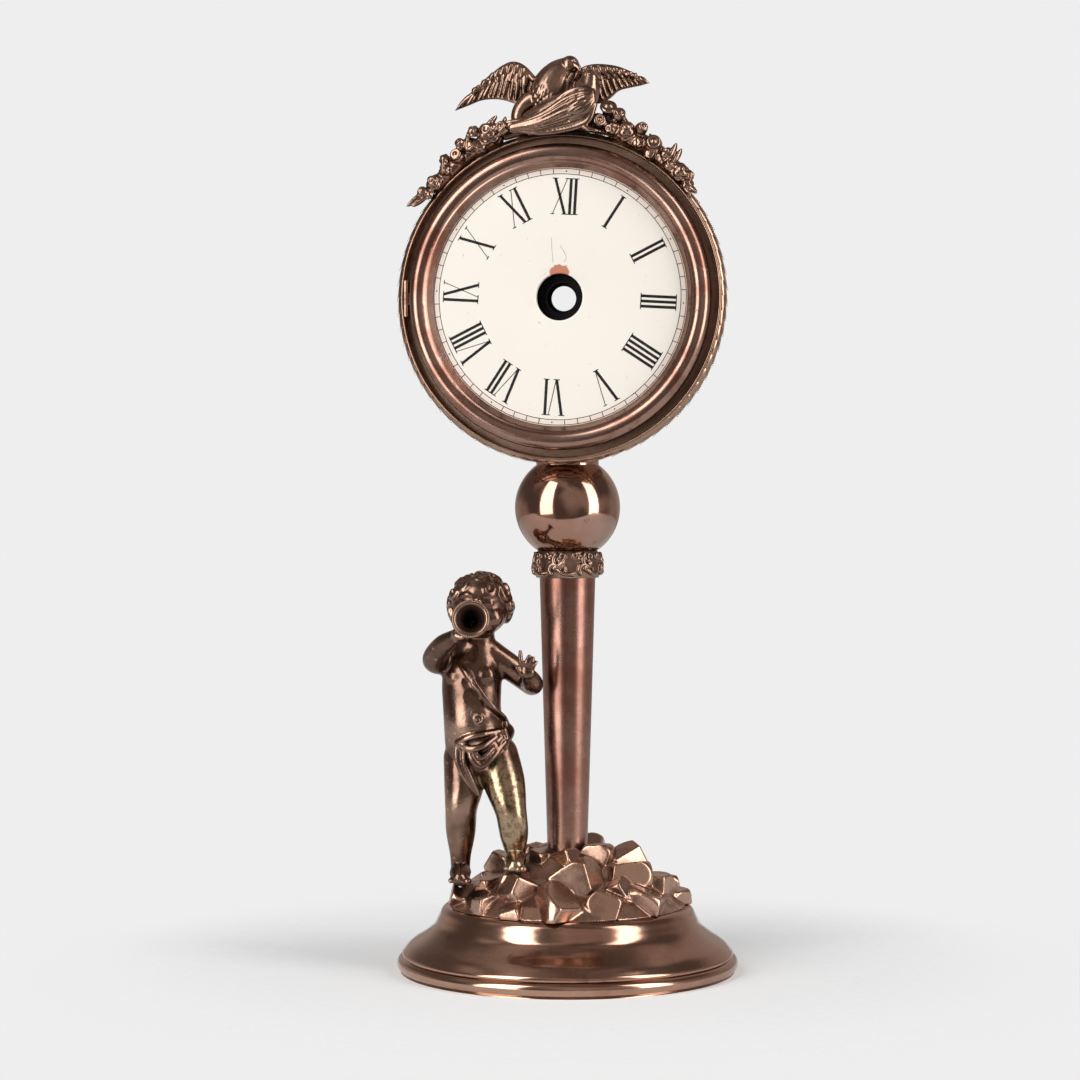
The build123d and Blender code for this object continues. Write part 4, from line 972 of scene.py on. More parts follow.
@dataclass
class RockMound:
    """Cast heap of faceted boulders on the foot, with a level stone under each sole of the figure.

    Each boulder has its angle round the mound, its distance in from the edge, its height and its size. Its
    six faces are skewed at random, and lie at a random reach from its middle.
    """

    boulders: tuple[tuple[float, ...], ...] = (
        (-172, 5.5, 4.0, 9.0), (-150, 12.0, 7.6, 9.5), (-130, 4.5, 2.6, 9.5), (-114, 12.5, 8.2, 14.5),
        (-109, 3.0, 0.8, 8.5), (-87, 6.0, 2.6, 15.0), (-75.5, 17.5, 10.6, 17.5), (-58.6, 7.0, 3.6, 13.5),
        (-46, 12.5, 7.2, 10.0), (-31.6, 6.5, 3.0, 14.0), (-21, 17.0, 10.8, 15.5), (-5, 9.5, 7.0, 11.5),
        (6, 4.0, 1.6, 9.0), (30, 6.2, 3.6, 13.5), (60, 6.2, 3.6, 13.5), (90, 6.2, 3.6, 13.5),
        (120, 6.2, 3.6, 13.5), (150, 6.2, 3.6, 13.5), (45, 16.0, 10.6, 13.5), (84, 16.0, 10.6, 13.5),
        (122, 16.0, 10.6, 13.5), (153, 16.0, 10.6, 13.0), (176, 17.5, 13.0, 10.5), (8, 20.5, 14.6, 11.5),
        (-125, 28.5, 17.0, 8.5), (-83, 29.0, 17.2, 10.0), (-24, 29.0, 17.4, 10.5), (62, 27.0, 16.2, 11.0),
        (118, 27.0, 16.2, 11.0), (168, 27.0, 16.2, 10.0),
    )
    radius: float = 41.5
    bore: float = 3.2
    soles: tuple[Triple, ...] = ((-35.0, -16.0, 31.2), (-14.6, -21.0, 36.6))
    sole_r: float = 7.0
    sole_drop: float = 4.2
    sole_sizes: Pair = (9.6, 11.2)
    bulk: float = 0.63
    skew: float = 0.24
    reach: Pair = (0.6, 0.74)
    seed: int = 4

    def boulder(self, shape: Shaper, number: int, size: float, place: Matrix, dice: random.Random) -> None:
        """Add one boulder: a ball ground to a rough block, and level where a sole rests.

        Args:
            shape: the heap in the making.
            number: number of the boulder, which sets how it is stretched.
            size: its size.
            place: where it lies and how it is turned.
            dice: source of its faces.
        """
        spread = sin(1.7 * number)
        stretch = Vector((1.1 + 0.25 * spread, 0.98 - 0.1 * spread, 0.9 + 0.12 * spread))
        sides = []
        for axis in range(3):
            for sign in (-1, 1):
                way = Vector([dice.uniform(-self.skew, self.skew) for _ in range(3)])
                way[axis] = sign
                sides.append((way.normalized(), dice.uniform(*self.reach)))
        with shape.tray() as lump:
            bmesh.ops.create_icosphere(lump, subdivisions=5, radius=1)
            for vert in lump.verts:
                for way, reach in sides:
                    past = vert.co.dot(way)
                    if past > reach:
                        vert.co *= reach / past
                vert.co = place @ (self.bulk * size * vert.co * stretch)
                for x, y, top in self.soles:
                    if vert.co.z > top and (vert.co.to_2d() - Vector((x, y))).length < self.sole_r + 1.5:
                        vert.co.z = top

    def build(self) -> None:
        """Heap the boulders and cast them with their bed."""
        dice = random.Random(self.seed)
        shape = Shaper()
        bed = [(self.bore, 0), (self.radius, 0), (self.radius - 4, 4), (31.5, 8), (24, 11.5)]
        bed += [(14, 17.5), (9.5, 19.6), (self.bore, 19.6)]
        shape.lathe([(radius, FOOT_TOP + rise) for radius, rise in bed], 96)
        for number, (turn, inset, rise, size) in enumerate(self.boulders):
            wave, ring = sin(1.7 * number), self.radius - inset
            angles = (18 * wave, 24 * sin(2.9 * number), turn + 40 * wave)
            spot = (ring * cos(radians(turn)), ring * sin(radians(turn)), FOOT_TOP + rise)
            place = Matrix.Translation(spot)
            for angle, axis in zip(angles, "XYZ"):
                place = place @ Matrix.Rotation(radians(angle), 4, axis)
            self.boulder(shape, number, size, place, dice)
        lean = Matrix.Rotation(0.7, 4, "X") @ Matrix.Rotation(0.5, 4, "Y")
        for number, ((x, y, top), size) in enumerate(zip(self.soles, self.sole_sizes), 3):
            place = Matrix.Translation((x, y, top - self.sole_drop)) @ lean
            self.boulder(shape, number, size, place, dice)
        geom = shape.bm.verts[:] + shape.bm.edges[:] + shape.bm.faces[:]
        bmesh.ops.bisect_plane(shape.bm, geom=geom, plane_co=(0, 0, FOOT_TOP), plane_no=-UP, clear_outer=True)
        bmesh.ops.holes_fill(shape.bm, edges=[edge for edge in shape.bm.edges if edge.is_boundary])
        shape.finish("boulder_heap", ROCK, "rock_mound", voxel=0.36, relax=5)


@dataclass
class Stand:
    """Column, scroll collar, ball and the saddle that carries on its curve up to the drum."""

    column_low: float = 41.0
    column_high: float = 137.6
    column_r: Pair = (7.0, 9.75)
    column_wall: float = 1.4
    collar_high: float = 147.4
    collar_r: float = 11.7
    collar_neck: float = 10.2
    collar_bore: float = 8.6
    ball_z: float = 162.2
    ball_r: float = 18.4
    ball_high: float = 174.6
    ball_wall: float = 1.0
    saddle_high: float = 182.0
    saddle_rise: float = 2.4
    bore: float = 3.2
    drum_r: float = 52.5
    motifs: int = 7
    rosettes: tuple[Triple, ...] = (
        (0.46, 0.8, 0.75), (0.98, 0.78, 0.9), (-0.3, 0.74, 0.6), (0.98, 0.3, 0.95),
    )

    def build(self) -> None:
        """Make the four pieces."""
        self.column()
        self.collar()
        self.ball()
        self.saddle()

    def column(self) -> None:
        """Turn the tapered column."""
        low, high = self.column_r
        length = self.column_high - self.column_low
        shares = [k / 14 for k in range(15)]
        side = [(low + (high - low) * share, self.column_low + share * length) for share in shares]
        inner = [(high - self.column_wall, self.column_high), (low - self.column_wall, self.column_low)]
        shape = Shaper()
        shape.lathe([*side, *inner], 128)
        shape.finish("column_tube", COLUMN_PLATE, "column")

    def collar_skin(self, share: float) -> float:
        """Radius of the collar at a share of its height."""
        swell = sin(pi * min(1.0, 0.12 + 0.88 * share)) ** 0.7
        return self.collar_neck + (self.collar_r - self.collar_neck) * swell

    def spot(self, angle: float, share: float, proud: float) -> Vector:
        """Point on the collar.

        Args:
            angle: the way round.
            share: share of the collar's height.
            proud: how far it stands off the skin.

        Returns:
            The point.
        """
        radius = self.collar_skin(share) + proud
        height = self.column_high + share * (self.collar_high - self.column_high)
        return Vector((radius * cos(angle), radius * sin(angle), height))

    def scroll(self, shape: Shaper, angle: float, share: float, size: float, hand: int) -> None:
        """Add a C-scroll that winds in to a boss.

        Args:
            shape: the collar in the making.
            angle: where its middle lies round the collar.
            share: where it lies in the collar's height.
            size: its radius.
            hand: which way it winds, 1 or -1.
        """
        points, radii = [], []
        for k in range(15):
            wind = size * (1 - 0.75 * k / 14)
            turn = hand * (2.2 + 1.45 * pi * k / 14)
            points.append(self.spot(angle + wind * cos(turn) / 12, share + wind * sin(turn) / 9.8, 0.35))
            radii.append(0.86 - 0.26 * k / 14)
        shape.chain(points, radii, 2)
        shape.ball(self.spot(angle, share, 0.4), 0.8, detail=2)

    def collar(self) -> None:
        """Cast the collar with its scrolls, rosettes and leaf strokes."""
        height = self.collar_high - self.column_high
        skin = [(self.collar_skin(k / 12), self.column_high + height * k / 12) for k in range(13)]
        shape = Shaper()
        hole = [(self.collar_bore, self.collar_high), (self.collar_bore, self.column_high)]
        shape.lathe([*skin, *hole], 96)
        for k in range(self.motifs):
            start = 2 * pi * k / self.motifs - 0.5 * pi - 0.06
            self.scroll(shape, start, 0.62, 2.7, 1)
            self.scroll(shape, start + 0.74, 0.36, 2.2, -1)
            for stroke in range(3):
                from_point = self.spot(start - 0.24 + 0.05 * stroke, 0.5 - 0.1 * stroke, 0.2)
                to_point = self.spot(start + 0.42 + 0.03 * stroke, 0.1 + 0.05 * stroke, 0.25)
                middle = self.spot(start + 0.08 + 0.05 * stroke, 0.2 - 0.02 * stroke, 0.55)
                shape.chain([from_point, middle, to_point], (0.4, 0.8, 0.35), 7)
            for angle, share, size in self.rosettes:
                place = self.spot(start + angle, share, 0.25)
                shape.hoop(place, Vector((place.x, place.y, 0)), size, 0.46, 14)
            root, tip = self.spot(start + 0.52, 0.62, 0.2), self.spot(start + 0.86, 0.86, 0.4)
            shape.leaf(root, tip, root * Vector((1, 1, 0)), 1.5, 1.0)
        shape.finish("scroll_collar", CAST, "collar", voxel=0.2, relax=1)

    def ball(self) -> None:
        """Turn the polished ball between the collar and the neck of the drum."""
        low = acos((self.collar_high - self.ball_z) / self.ball_r)
        high = acos((self.ball_high - self.ball_z) / self.ball_r)
        tilts = [low + (high - low) * k / 56 for k in range(57)]
        skin = [(self.ball_r * sin(tilt), self.ball_z + self.ball_r * cos(tilt)) for tilt in tilts]
        inner = [(radius - self.ball_wall, height) for radius, height in reversed(skin)]
        shape = Shaper()
        shape.lathe([*skin, *inner])
        shape.finish("polished_ball", PLATE, "ball")

    def saddle(self) -> None:
        """Turn the saddle and fit its top to the drum."""
        skin = []
        for k in range(9):
            height = self.ball_high - self.ball_z + self.saddle_rise * k / 8
            skin.append((sqrt(self.ball_r**2 - height**2), self.ball_z + height))
        shape = Shaper()
        top = [(skin[-1][0], self.saddle_high), (self.bore, self.saddle_high)]
        shape.lathe([*skin, *top, (self.bore, self.ball_high)])
        for vert in shape.bm.verts:
            if vert.co.z > self.saddle_high - 0.1:
                vert.co.z = DRUM_Z - sqrt(self.drum_r**2 - vert.co.x**2)
        shape.finish("saddle_dish", PLATE, "saddle")


@dataclass
class Cherub:
    """Standing child with a horn: cast in one skin, with curls, a strap and a drape.

    Legs, arms and folds are given by the points of each and its radii there, the swells of the trunk by
    place and radii, the dimples by place, radius and depth. The features are brow, eyelid and ear of one
    side in the head's own frame.
    """

    head: Triple = (-28.2, -14.4, 128.4)
    gaze: Triple = (0.12, -0.99, 0.06)
    horn_mouth: Triple = (-28.4, -25.6, 121.6)
    horn_bell: Triple = (-24.9, -47.0, 125.2)
    bell_r: float = 6.3
    curls: int = 34
    strands: int = 64
    bare_leg: tuple[Triple, ...] = (
        (-21.6, -16.5, 68.0), (-17.0, -20.0, 58.0), (-15.6, -18.0, 46.0), (-14.6, -22.0, 38.5),
    )
    bare_reach: float = 9.6
    bare_fade: float = 2.4
    navel: Triple = (-26.8, -24.3, 89.6)
    dimples: tuple[tuple[Triple, float, float], ...] = (
        ((-26.8, -25.0, 89.6), 1.3, 0.9), ((-29.2, -24.0, 97.5), 3.6, 0.5), ((-31.0, -23.2, 102.0), 2.6, 0.4),
    )
    spine: tuple[Triple, ...] = (
        (-30.0, -14.2, 112.0), (-30.9, -14.4, 106.0), (-31.2, -14.8, 100.0), (-31.0, -15.4, 93.0),
        (-30.4, -15.6, 87.0), (-30.0, -14.6, 80.0), (-29.6, -13.8, 74.0),
    )
    girth: tuple[Triple, ...] = (
        (7.6, 6.4, 6), (10.2, 7.8, 6), (10.5, 8.2, 6), (10.2, 8.9, 6), (10.4, 9.3, 6), (10.6, 9, 6),
        (10.2, 8.4, 6),
    )
    swells: tuple = (
        ((-28.8, -19.8, 90.4), (6.6, 4.9, 6.8)), ((-35.2, -19.0, 103.4), (4.2, 3.3, 3.8)),
        ((-25.8, -19.0, 104.2), (4.2, 3.3, 3.8)), ((-34.4, -9.0, 78.5), 6.6), ((-24.4, -9.0, 78.5), 6.6),
    )
    legs: tuple = (
        (
            (
                (-34.0, -13.8, 75.0), (-33.9, -15.0, 66.0), (-34.6, -16.4, 58.0), (-35.1, -14.8, 50.0),
                (-35.5, -13.4, 41.5), (-35.7, -12.6, 36.0),
            ),
            (7.4, 7.0, 5.7, 5.3, 3.8, 3.4),
        ),
        (
            (
                (-22.6, -13.4, 76.0), (-19.4, -16.4, 67.0), (-16.6, -19.2, 58.0), (-15.6, -18.4, 50.0),
                (-15.5, -17.2, 44.0), (-15.4, -16.6, 40.6),
            ),
            (7.6, 7.3, 5.6, 5.1, 3.7, 3.3),
        ),
    )
    arms: tuple = (
        (
            (
                (-36.6, -13.6, 109.0), (-41.0, -16.2, 108.8), (-43.0, -20.2, 109.8), (-38.6, -27.4, 114.8),
                (-33.0, -33.6, 118.2),
            ),
            (5.2, 4.9, 4.5, 3.8, 2.8),
        ),
        (
            (
                (-25.0, -13.4, 111.4), (-18.6, -12.0, 107.0), (-12.4, -10.4, 102.2), (-10.6, -11.0, 100.8),
                (-10.2, -14.6, 101.8), (-10.6, -18.0, 104.0),
            ),
            (5.0, 4.7, 4.3, 4.0, 3.5, 2.6),
        ),
    )
    features: tuple = (
        (((1.6, 10.2, 2.6), (4.0, 9.6, 3.4), (6.4, 7.6, 2.4)), (0.9, 0.95, 0.7), 5),
        (((2.2, 9.7, 1.1), (3.8, 9.7, 1.7), (5.4, 8.6, 0.8)), (0.45, 0.5, 0.4), 4),
        (((10.0, -0.6, 1.4), (10.9, -1.8, -0.8), (9.9, -0.6, -3.0)), (1.0, 1.2, 1.0), 5),
    )
    strap: tuple[Triple, ...] = (
        (-34.4, -20.0, 109.4), (-30.6, -23.0, 104.6), (-26.4, -24.1, 98.8), (-22.4, -22.6, 93.6),
        (-19.8, -18.4, 90.2), (-19.6, -13.6, 88.0),
    )
    strap_r: float = 0.75
    folds: tuple = (
        (
            ((-34.4, -23.6, 80.9), (-30.4, -25.2, 83.0), (-25.6, -24.4, 84.2), (-20.4, -20.2, 85.0)),
            (0.8, 0.85, 0.85, 0.8),
        ),
        (
            ((-34.0, -23.8, 80.6), (-29.4, -26.0, 79.4), (-25.2, -25.6, 80.2), (-21.2, -21.6, 83.2)),
            (0.8, 0.95, 0.9, 0.8),
        ),
        (
            (
                (-29.8, -25.8, 78.6), (-28.4, -26.0, 75.6), (-25.6, -25.2, 73.4), (-22.0, -23.2, 76.6),
                (-18.6, -19.4, 81.4),
            ),
            (0.8, 1.0, 1.0, 1.0, 0.8),
        ),
        (
            ((-27.4, -25.8, 77.6), (-25.4, -25.6, 76.2), (-22.6, -23.4, 79.0), (-19.6, -19.8, 83.0)),
            (0.6, 0.8, 0.85, 0.7),
        ),
        (
            (
                (-34.6, -23.4, 80.9), (-34.4, -23.6, 75.0), (-32.6, -23.2, 70.4), (-30.0, -22.6, 66.4),
                (-27.6, -21.8, 63.2),
            ),
            (0.85, 0.85, 0.8, 0.75, 0.6),
        ),
        (
            ((-32.0, -24.6, 79.4), (-31.6, -24.8, 74.2), (-29.8, -24.0, 69.4), (-27.4, -22.2, 63.4)),
            (0.7, 0.75, 0.75, 0.6),
        ),
        (((-18.9, -18.8, 85.4), (-18.2, -18.0, 81.4), (-18.8, -18.4, 76.8)), (0.85, 0.9, 0.7)),
        (((-19.4, -15.0, 87.0), (-18.8, -10.0, 84.0), (-21.6, -4.6, 80.0)), (1.2, 1.5, 1.4)),
    )
    fold_scale: float = 1.3

    def build(self) -> None:
        """Cast the figure and turn its horn."""
        shape = Shaper()
        self.trunk(shape)
        self.limbs(shape)
        shape.settle(0.5, 12)
        self.feet(shape)
        self.hands(shape)
        self.face(shape)
        self.hair(shape)
        self.drape(shape)
        shape.hoop(Vector(self.navel), FRONT, 1.25, 0.6, 14)
        figure = shape.finish("cherub_casting", FIGURE, "cherub_figure", voxel=0.36, relax=2)
        press(figure, self.dimples)
        self.lay_bare(figure)
        self.horn()

    def trunk(self, shape: Shaper) -> None:
        """Add chest, belly, hips, shoulders and neck.

        Args:
            shape: the figure in the making.
        """
        shape.chain(self.spine, self.girth, 4, 4)
        for place, size in self.swells:
            shape.ball(place, size, detail=4)
        neck = [(-29.6, -13.6, 108.0), (-29.0, -14.6, 119.0)]
        shoulders = [(-36.8, -13.6, 108.6), (-29.6, -13.4, 110.6), (-24.6, -13.4, 111.4)]
        shape.chain(neck, ((7.0, 6.0, 5), (5.8, 5.6, 5)), 6, 3)
        shape.chain(shoulders, (5.0, 5.2, 4.9), 7, 3)

    def limbs(self, shape: Shaper) -> None:
        """Add both legs, the arm at the horn and the arm that leans on the column.

        Args:
            shape: the figure in the making.
        """
        for lines, parts in ((self.legs, 8), (self.arms, 9)):
            for points, radii in lines:
                shape.chain(points, radii, parts, 3)

    def feet(self, shape: Shaper) -> None:
        """Add both feet with their toes.

        Args:
            shape: the figure in the making.
        """
        shape.chain([(-35.8, -11.0, 35.0), (-35.2, -15.5, 35.0), (-34.4, -19.8, 33.8)], (3.6, 3.8, 2.8))
        self.toes(shape, Vector((-34.3, -21.6, 32.9)), Vector((0.18, -1, 0)))
        shape.chain([(-15.6, -15.0, 40.4), (-14.9, -19.8, 40.4), (-14.0, -24.2, 39.2)], (3.6, 3.9, 3.0))
        self.toes(shape, Vector((-13.8, -26.4, 38.3)), Vector((0.2, -1, 0)))

    @staticmethod
    def toes(shape: Shaper, middle: Vector, ahead: Vector) -> None:
        """Add five toes across the front of a foot.

        Args:
            shape: the figure in the making.
            middle: middle of the row.
            ahead: the way the foot points.
        """
        across = Vector((-ahead.y, ahead.x, 0)).normalized()
        for k in range(5):
            size = 1.45 - 0.13 * k
            tip = middle + across * (3.0 - 1.5 * k) - ahead.normalized() * 0.09 * k * k
            shape.chain([tip - ahead * 1.4, tip], (size, 0.92 * size), 4)

    def hands(self, shape: Shaper) -> None:
        """Add the hand round the horn and the raised hand beside the column.

        Args:
            shape: the figure in the making.
        """
        shape.ball((-31.4, -36.0, 119.0), (2.6, 3.2, 2.8))
        for k in range(4):
            start = Vector((-31.6, -33.6 - 1.7 * k, 118.4 + 0.2 * k))
            bend, end = start + Vector((2.2, -0.6, -0.6)), start + Vector((4.0, -0.8, 1.2))
            shape.chain([start, bend, end], (1.05, 0.95, 0.8), 4)
        palm = Vector((-10.7, -19.8, 105.6))
        shape.ball(palm, (2.8, 1.7, 2.6))
        tips = ((-2.2, 7.0, 0.95), (0.9, 5.6, 0.9), (2.4, 5.0, 0.85), (3.5, 3.6, 0.75))
        for k, (lean, length, size) in enumerate(tips):
            root = palm + Vector((-1.9 + 1.3 * k, -0.3, 1.4))
            knuckle = palm + Vector((0.5 * (lean - 1.9 + 1.3 * k), -1.3, 0.55 * length + 0.6))
            shape.chain([root, knuckle, palm + Vector((lean, -0.8, length))], (size, size, 0.75 * size), 5)
        shape.chain([palm + Vector((-2.0, -0.6, -0.8)), palm + Vector((-3.2, -1.8, 1.6))], (1.0, 0.75), 5)

    def face(self, shape: Shaper) -> None:
        """Add a generic child's face with full cheeks at the horn.

        Args:
            shape: the figure in the making.
        """
        centre = Vector(self.head)
        ahead = Vector(self.gaze).normalized()
        right = ahead.cross(UP).normalized()
        above = right.cross(ahead)

        def at(x: float, y: float, z: float) -> Vector:
            """Point in the head's own frame: to its right, ahead and up."""
            return centre + x * right + y * ahead + z * above

        shape.ball(centre, (10.3, 10.4, 10.8), detail=4)
        shape.ball(at(0, 1.6, 2.0), (9.2, 9.4, 8.6), detail=4)
        shape.ball(at(0, 4.2, -6.0), (7.2, 6.0, 5.4))
        for side in (-1, 1):
            shape.ball(at(4.3 * side, 6.0, -4.4), 4.3)
            shape.ball(at(3.7 * side, 8.7, 0.5), (1.75, 1.5, 1.25))
            for points, radii, parts in self.features:
                shape.chain([at(x * side, y, z) for x, y, z in points], radii, parts)
        shape.chain([at(0, 10.2, 1.6), at(0, 11.2, -0.4), at(0, 11.9, -1.9)], (0.95, 1.1, 1.5), 5)
        shape.ball(at(0, 6.6, -8.4), 3.0)
        shape.hoop(at(0, 10.2, -5.6), ahead, 1.9, 0.95, 14)

    def hair(self, shape: Shaper) -> None:
        """Add the cap of curls.

        Args:
            shape: the figure in the making.
        """
        centre = Vector(self.head)
        ahead = Vector(self.gaze).normalized()
        for k in range(self.curls):
            height = 1 - 1.55 * (k + 0.5) / self.curls
            ring = sqrt(max(0.0, 1 - height * height))
            turn = k * pi * (3 - sqrt(5))
            out = Vector((ring * cos(turn), ring * sin(turn), height))
            if out.dot(ahead) > 0.5 and height < 0.5:
                continue
            flat = basis(out, UP if abs(height) < 0.9 else FRONT)
            points, radii = [], []
            for step in range(7):
                wind = (0.4 + 1.9 * step / 6) * (2.1 if k % 2 else -2.1)
                reach = 3.2 - 0.42 * step
                own = Vector((reach * cos(wind), reach * sin(wind), 0.1 + 0.16 * step))
                points.append(centre + out * 9.7 + flat.to_3x3() @ own)
                radii.append(1.7 - 0.08 * step)
            shape.chain(points, radii, 3)

    def drape(self, shape: Shaper) -> None:
        """Add the strap across the chest and the folds round the hips.

        Args:
            shape: the figure in the making.
        """
        for shift in (-0.6, 0.6):
            line = [(x + shift, y, z) for x, y, z in self.strap]
            shape.chain(line, [self.strap_r] * len(line), 12)
        for points, radii in self.folds:
            shape.chain(points, [self.fold_scale * radius for radius in radii], 12)
        shape.ball((-26.6, -21.6, 79.8), (6.8, 3.2, 4.2), detail=4)
        hanging = [(-32.6, -21.6, 79.0), (-31.6, -21.8, 73.0), (-28.6, -20.6, 65.6)]
        shape.chain(hanging, (2.6, 2.4, 1.4), 9, 3)

    def lay_bare(self, figure: bpy.types.Object) -> None:
        """Mark where the leg beside the column is rubbed down to the brass.

        Args:
            figure: the cast figure.
        """
        mask = figure.data.attributes.new(FIGURE.mask, "FLOAT", "POINT")
        tree = nearby(point * MM for point in flow(self.bare_leg, 8))
        for vert, mark in zip(figure.data.vertices, mask.data):
            gap = tree.find(vert.co)[2] / MM
            mark.value = max(0.0, min(1.0, (self.bare_reach - gap) / self.bare_fade))

    def horn(self) -> None:
        """Turn the horn with a rolled lip, wind a fine rope round that, and line its throat with a dark
        sleeve of painted shade.
        """
        mouth, bell = Vector(self.horn_mouth), Vector(self.horn_bell)
        axis = bell - mouth
        length = axis.length
        curve = [(1.7, 0), (1.9, 0.3), (2.7, 0.62), (4.2, 0.86), (self.bell_r - 0.7, 0.985)]
        line = flow([(radius, share * length, 0) for radius, share in curve], 8)
        side = [(point.x, point.y) for point in line]
        inner = [(max(0.5, radius - 0.7), along) for radius, along in reversed(side)]
        lip = arc((self.bell_r - 0.55, length - 0.6), (0.75, 0.6), 0, 2 * pi / 14, 14)
        shape = Shaper()
        shape.lathe([*side, *inner], 72, mouth, axis)
        shape.lathe(lip, 72, mouth, axis)
        turn = axis.to_track_quat("Z", "Y").to_matrix()
        for k in range(self.strands):
            angle = 2 * pi * k / self.strands
            out = turn @ Vector((cos(angle), sin(angle), 0))
            along = turn @ Vector((-sin(angle), cos(angle), 0))
            place = bell + out * (self.bell_r - 0.2) - 0.3 * axis.normalized()
            shape.ball(place, (0.52, 0.2, 0.42), basis(axis, out + 0.7 * along), 2)
        shape.finish("horn_shell", CAST, "horn")
        # A thin dark sleeve just inside the bore: painted shade inside the horn's throat.
        shade_lining = Shaper()
        dark = [(radius - 0.82, along) for radius, along in side]
        lining = [(max(0.2, radius - 0.12), along) for radius, along in reversed(dark)]
        shade_lining.lathe([*dark, *lining], 48, mouth, axis)
        shade_lining.finish("horn_throat", SHADE_LINING)


@dataclass
class Drum:
    """Front of the drum: its leaf border. Shell, bezel and door keep their solids."""

    border_r: float = 57.7
    border_front: float = -16.6
    border_back: float = -8.5
    groove: float = 55.0
    groove_floor: float = -13.2
    lip: float = 0.5
    shell_r: float = 52.5
    leaves: int = 34
    rows: Pair = (-1.9, 1.3)

    def build(self) -> None:
        """Turn the border ring and lay leaves round it, tips down on both sides."""
        shape = Shaper()
        middle = (self.border_front + self.border_back) / 2
        lip_at = (self.groove + self.lip, self.border_front + self.lip)
        lip = arc(lip_at, (self.lip, -self.lip), pi, -pi / 8, 9)
        profile = [
            (self.shell_r, self.border_back),
            (self.shell_r, self.groove_floor),
            (self.groove, self.groove_floor),
            *lip,
            (self.groove + 1.1, self.border_front + 1.3),
            (self.border_r - 1.1, self.border_front + 1.7),
            (self.border_r - 0.9, middle),
            (self.border_r - 1.2, self.border_back),
        ]
        shape.lathe(profile, 200, (0, 0, DRUM_Z), BACK)
        for side in (-1, 1):
            for k in range(self.leaves):
                angle = 90 + side * 180 * (k + 0.5) / self.leaves
                step = side * 180 / self.leaves
                out = on_drum(angle, 1.0, 0) - Vector((0, 0, DRUM_Z))
                for row, depth in enumerate(self.rows):
                    shift = 0.5 * row * step
                    root = on_drum(angle + shift - 0.7 * step, self.border_r - 1.5, middle + depth)
                    tip = on_drum(angle + shift + 0.75 * step, self.border_r - 0.6, middle + depth - 0.3)
                    face = out + (0.55 - 0.5 * row) * FRONT
                    shape.leaf(root, tip, face, 4.6, 1.5, 0.3, 0.14)
                    ridge = 0.62 * face.normalized()
                    rib = [root.lerp(tip, share) + ridge for share in (0.2, 0.9)]
                    shape.chain(rib, (0.3, 0.2), 7, 1)
        shape.finish("leaf_border", BORDER, "drum_border", crease=50)


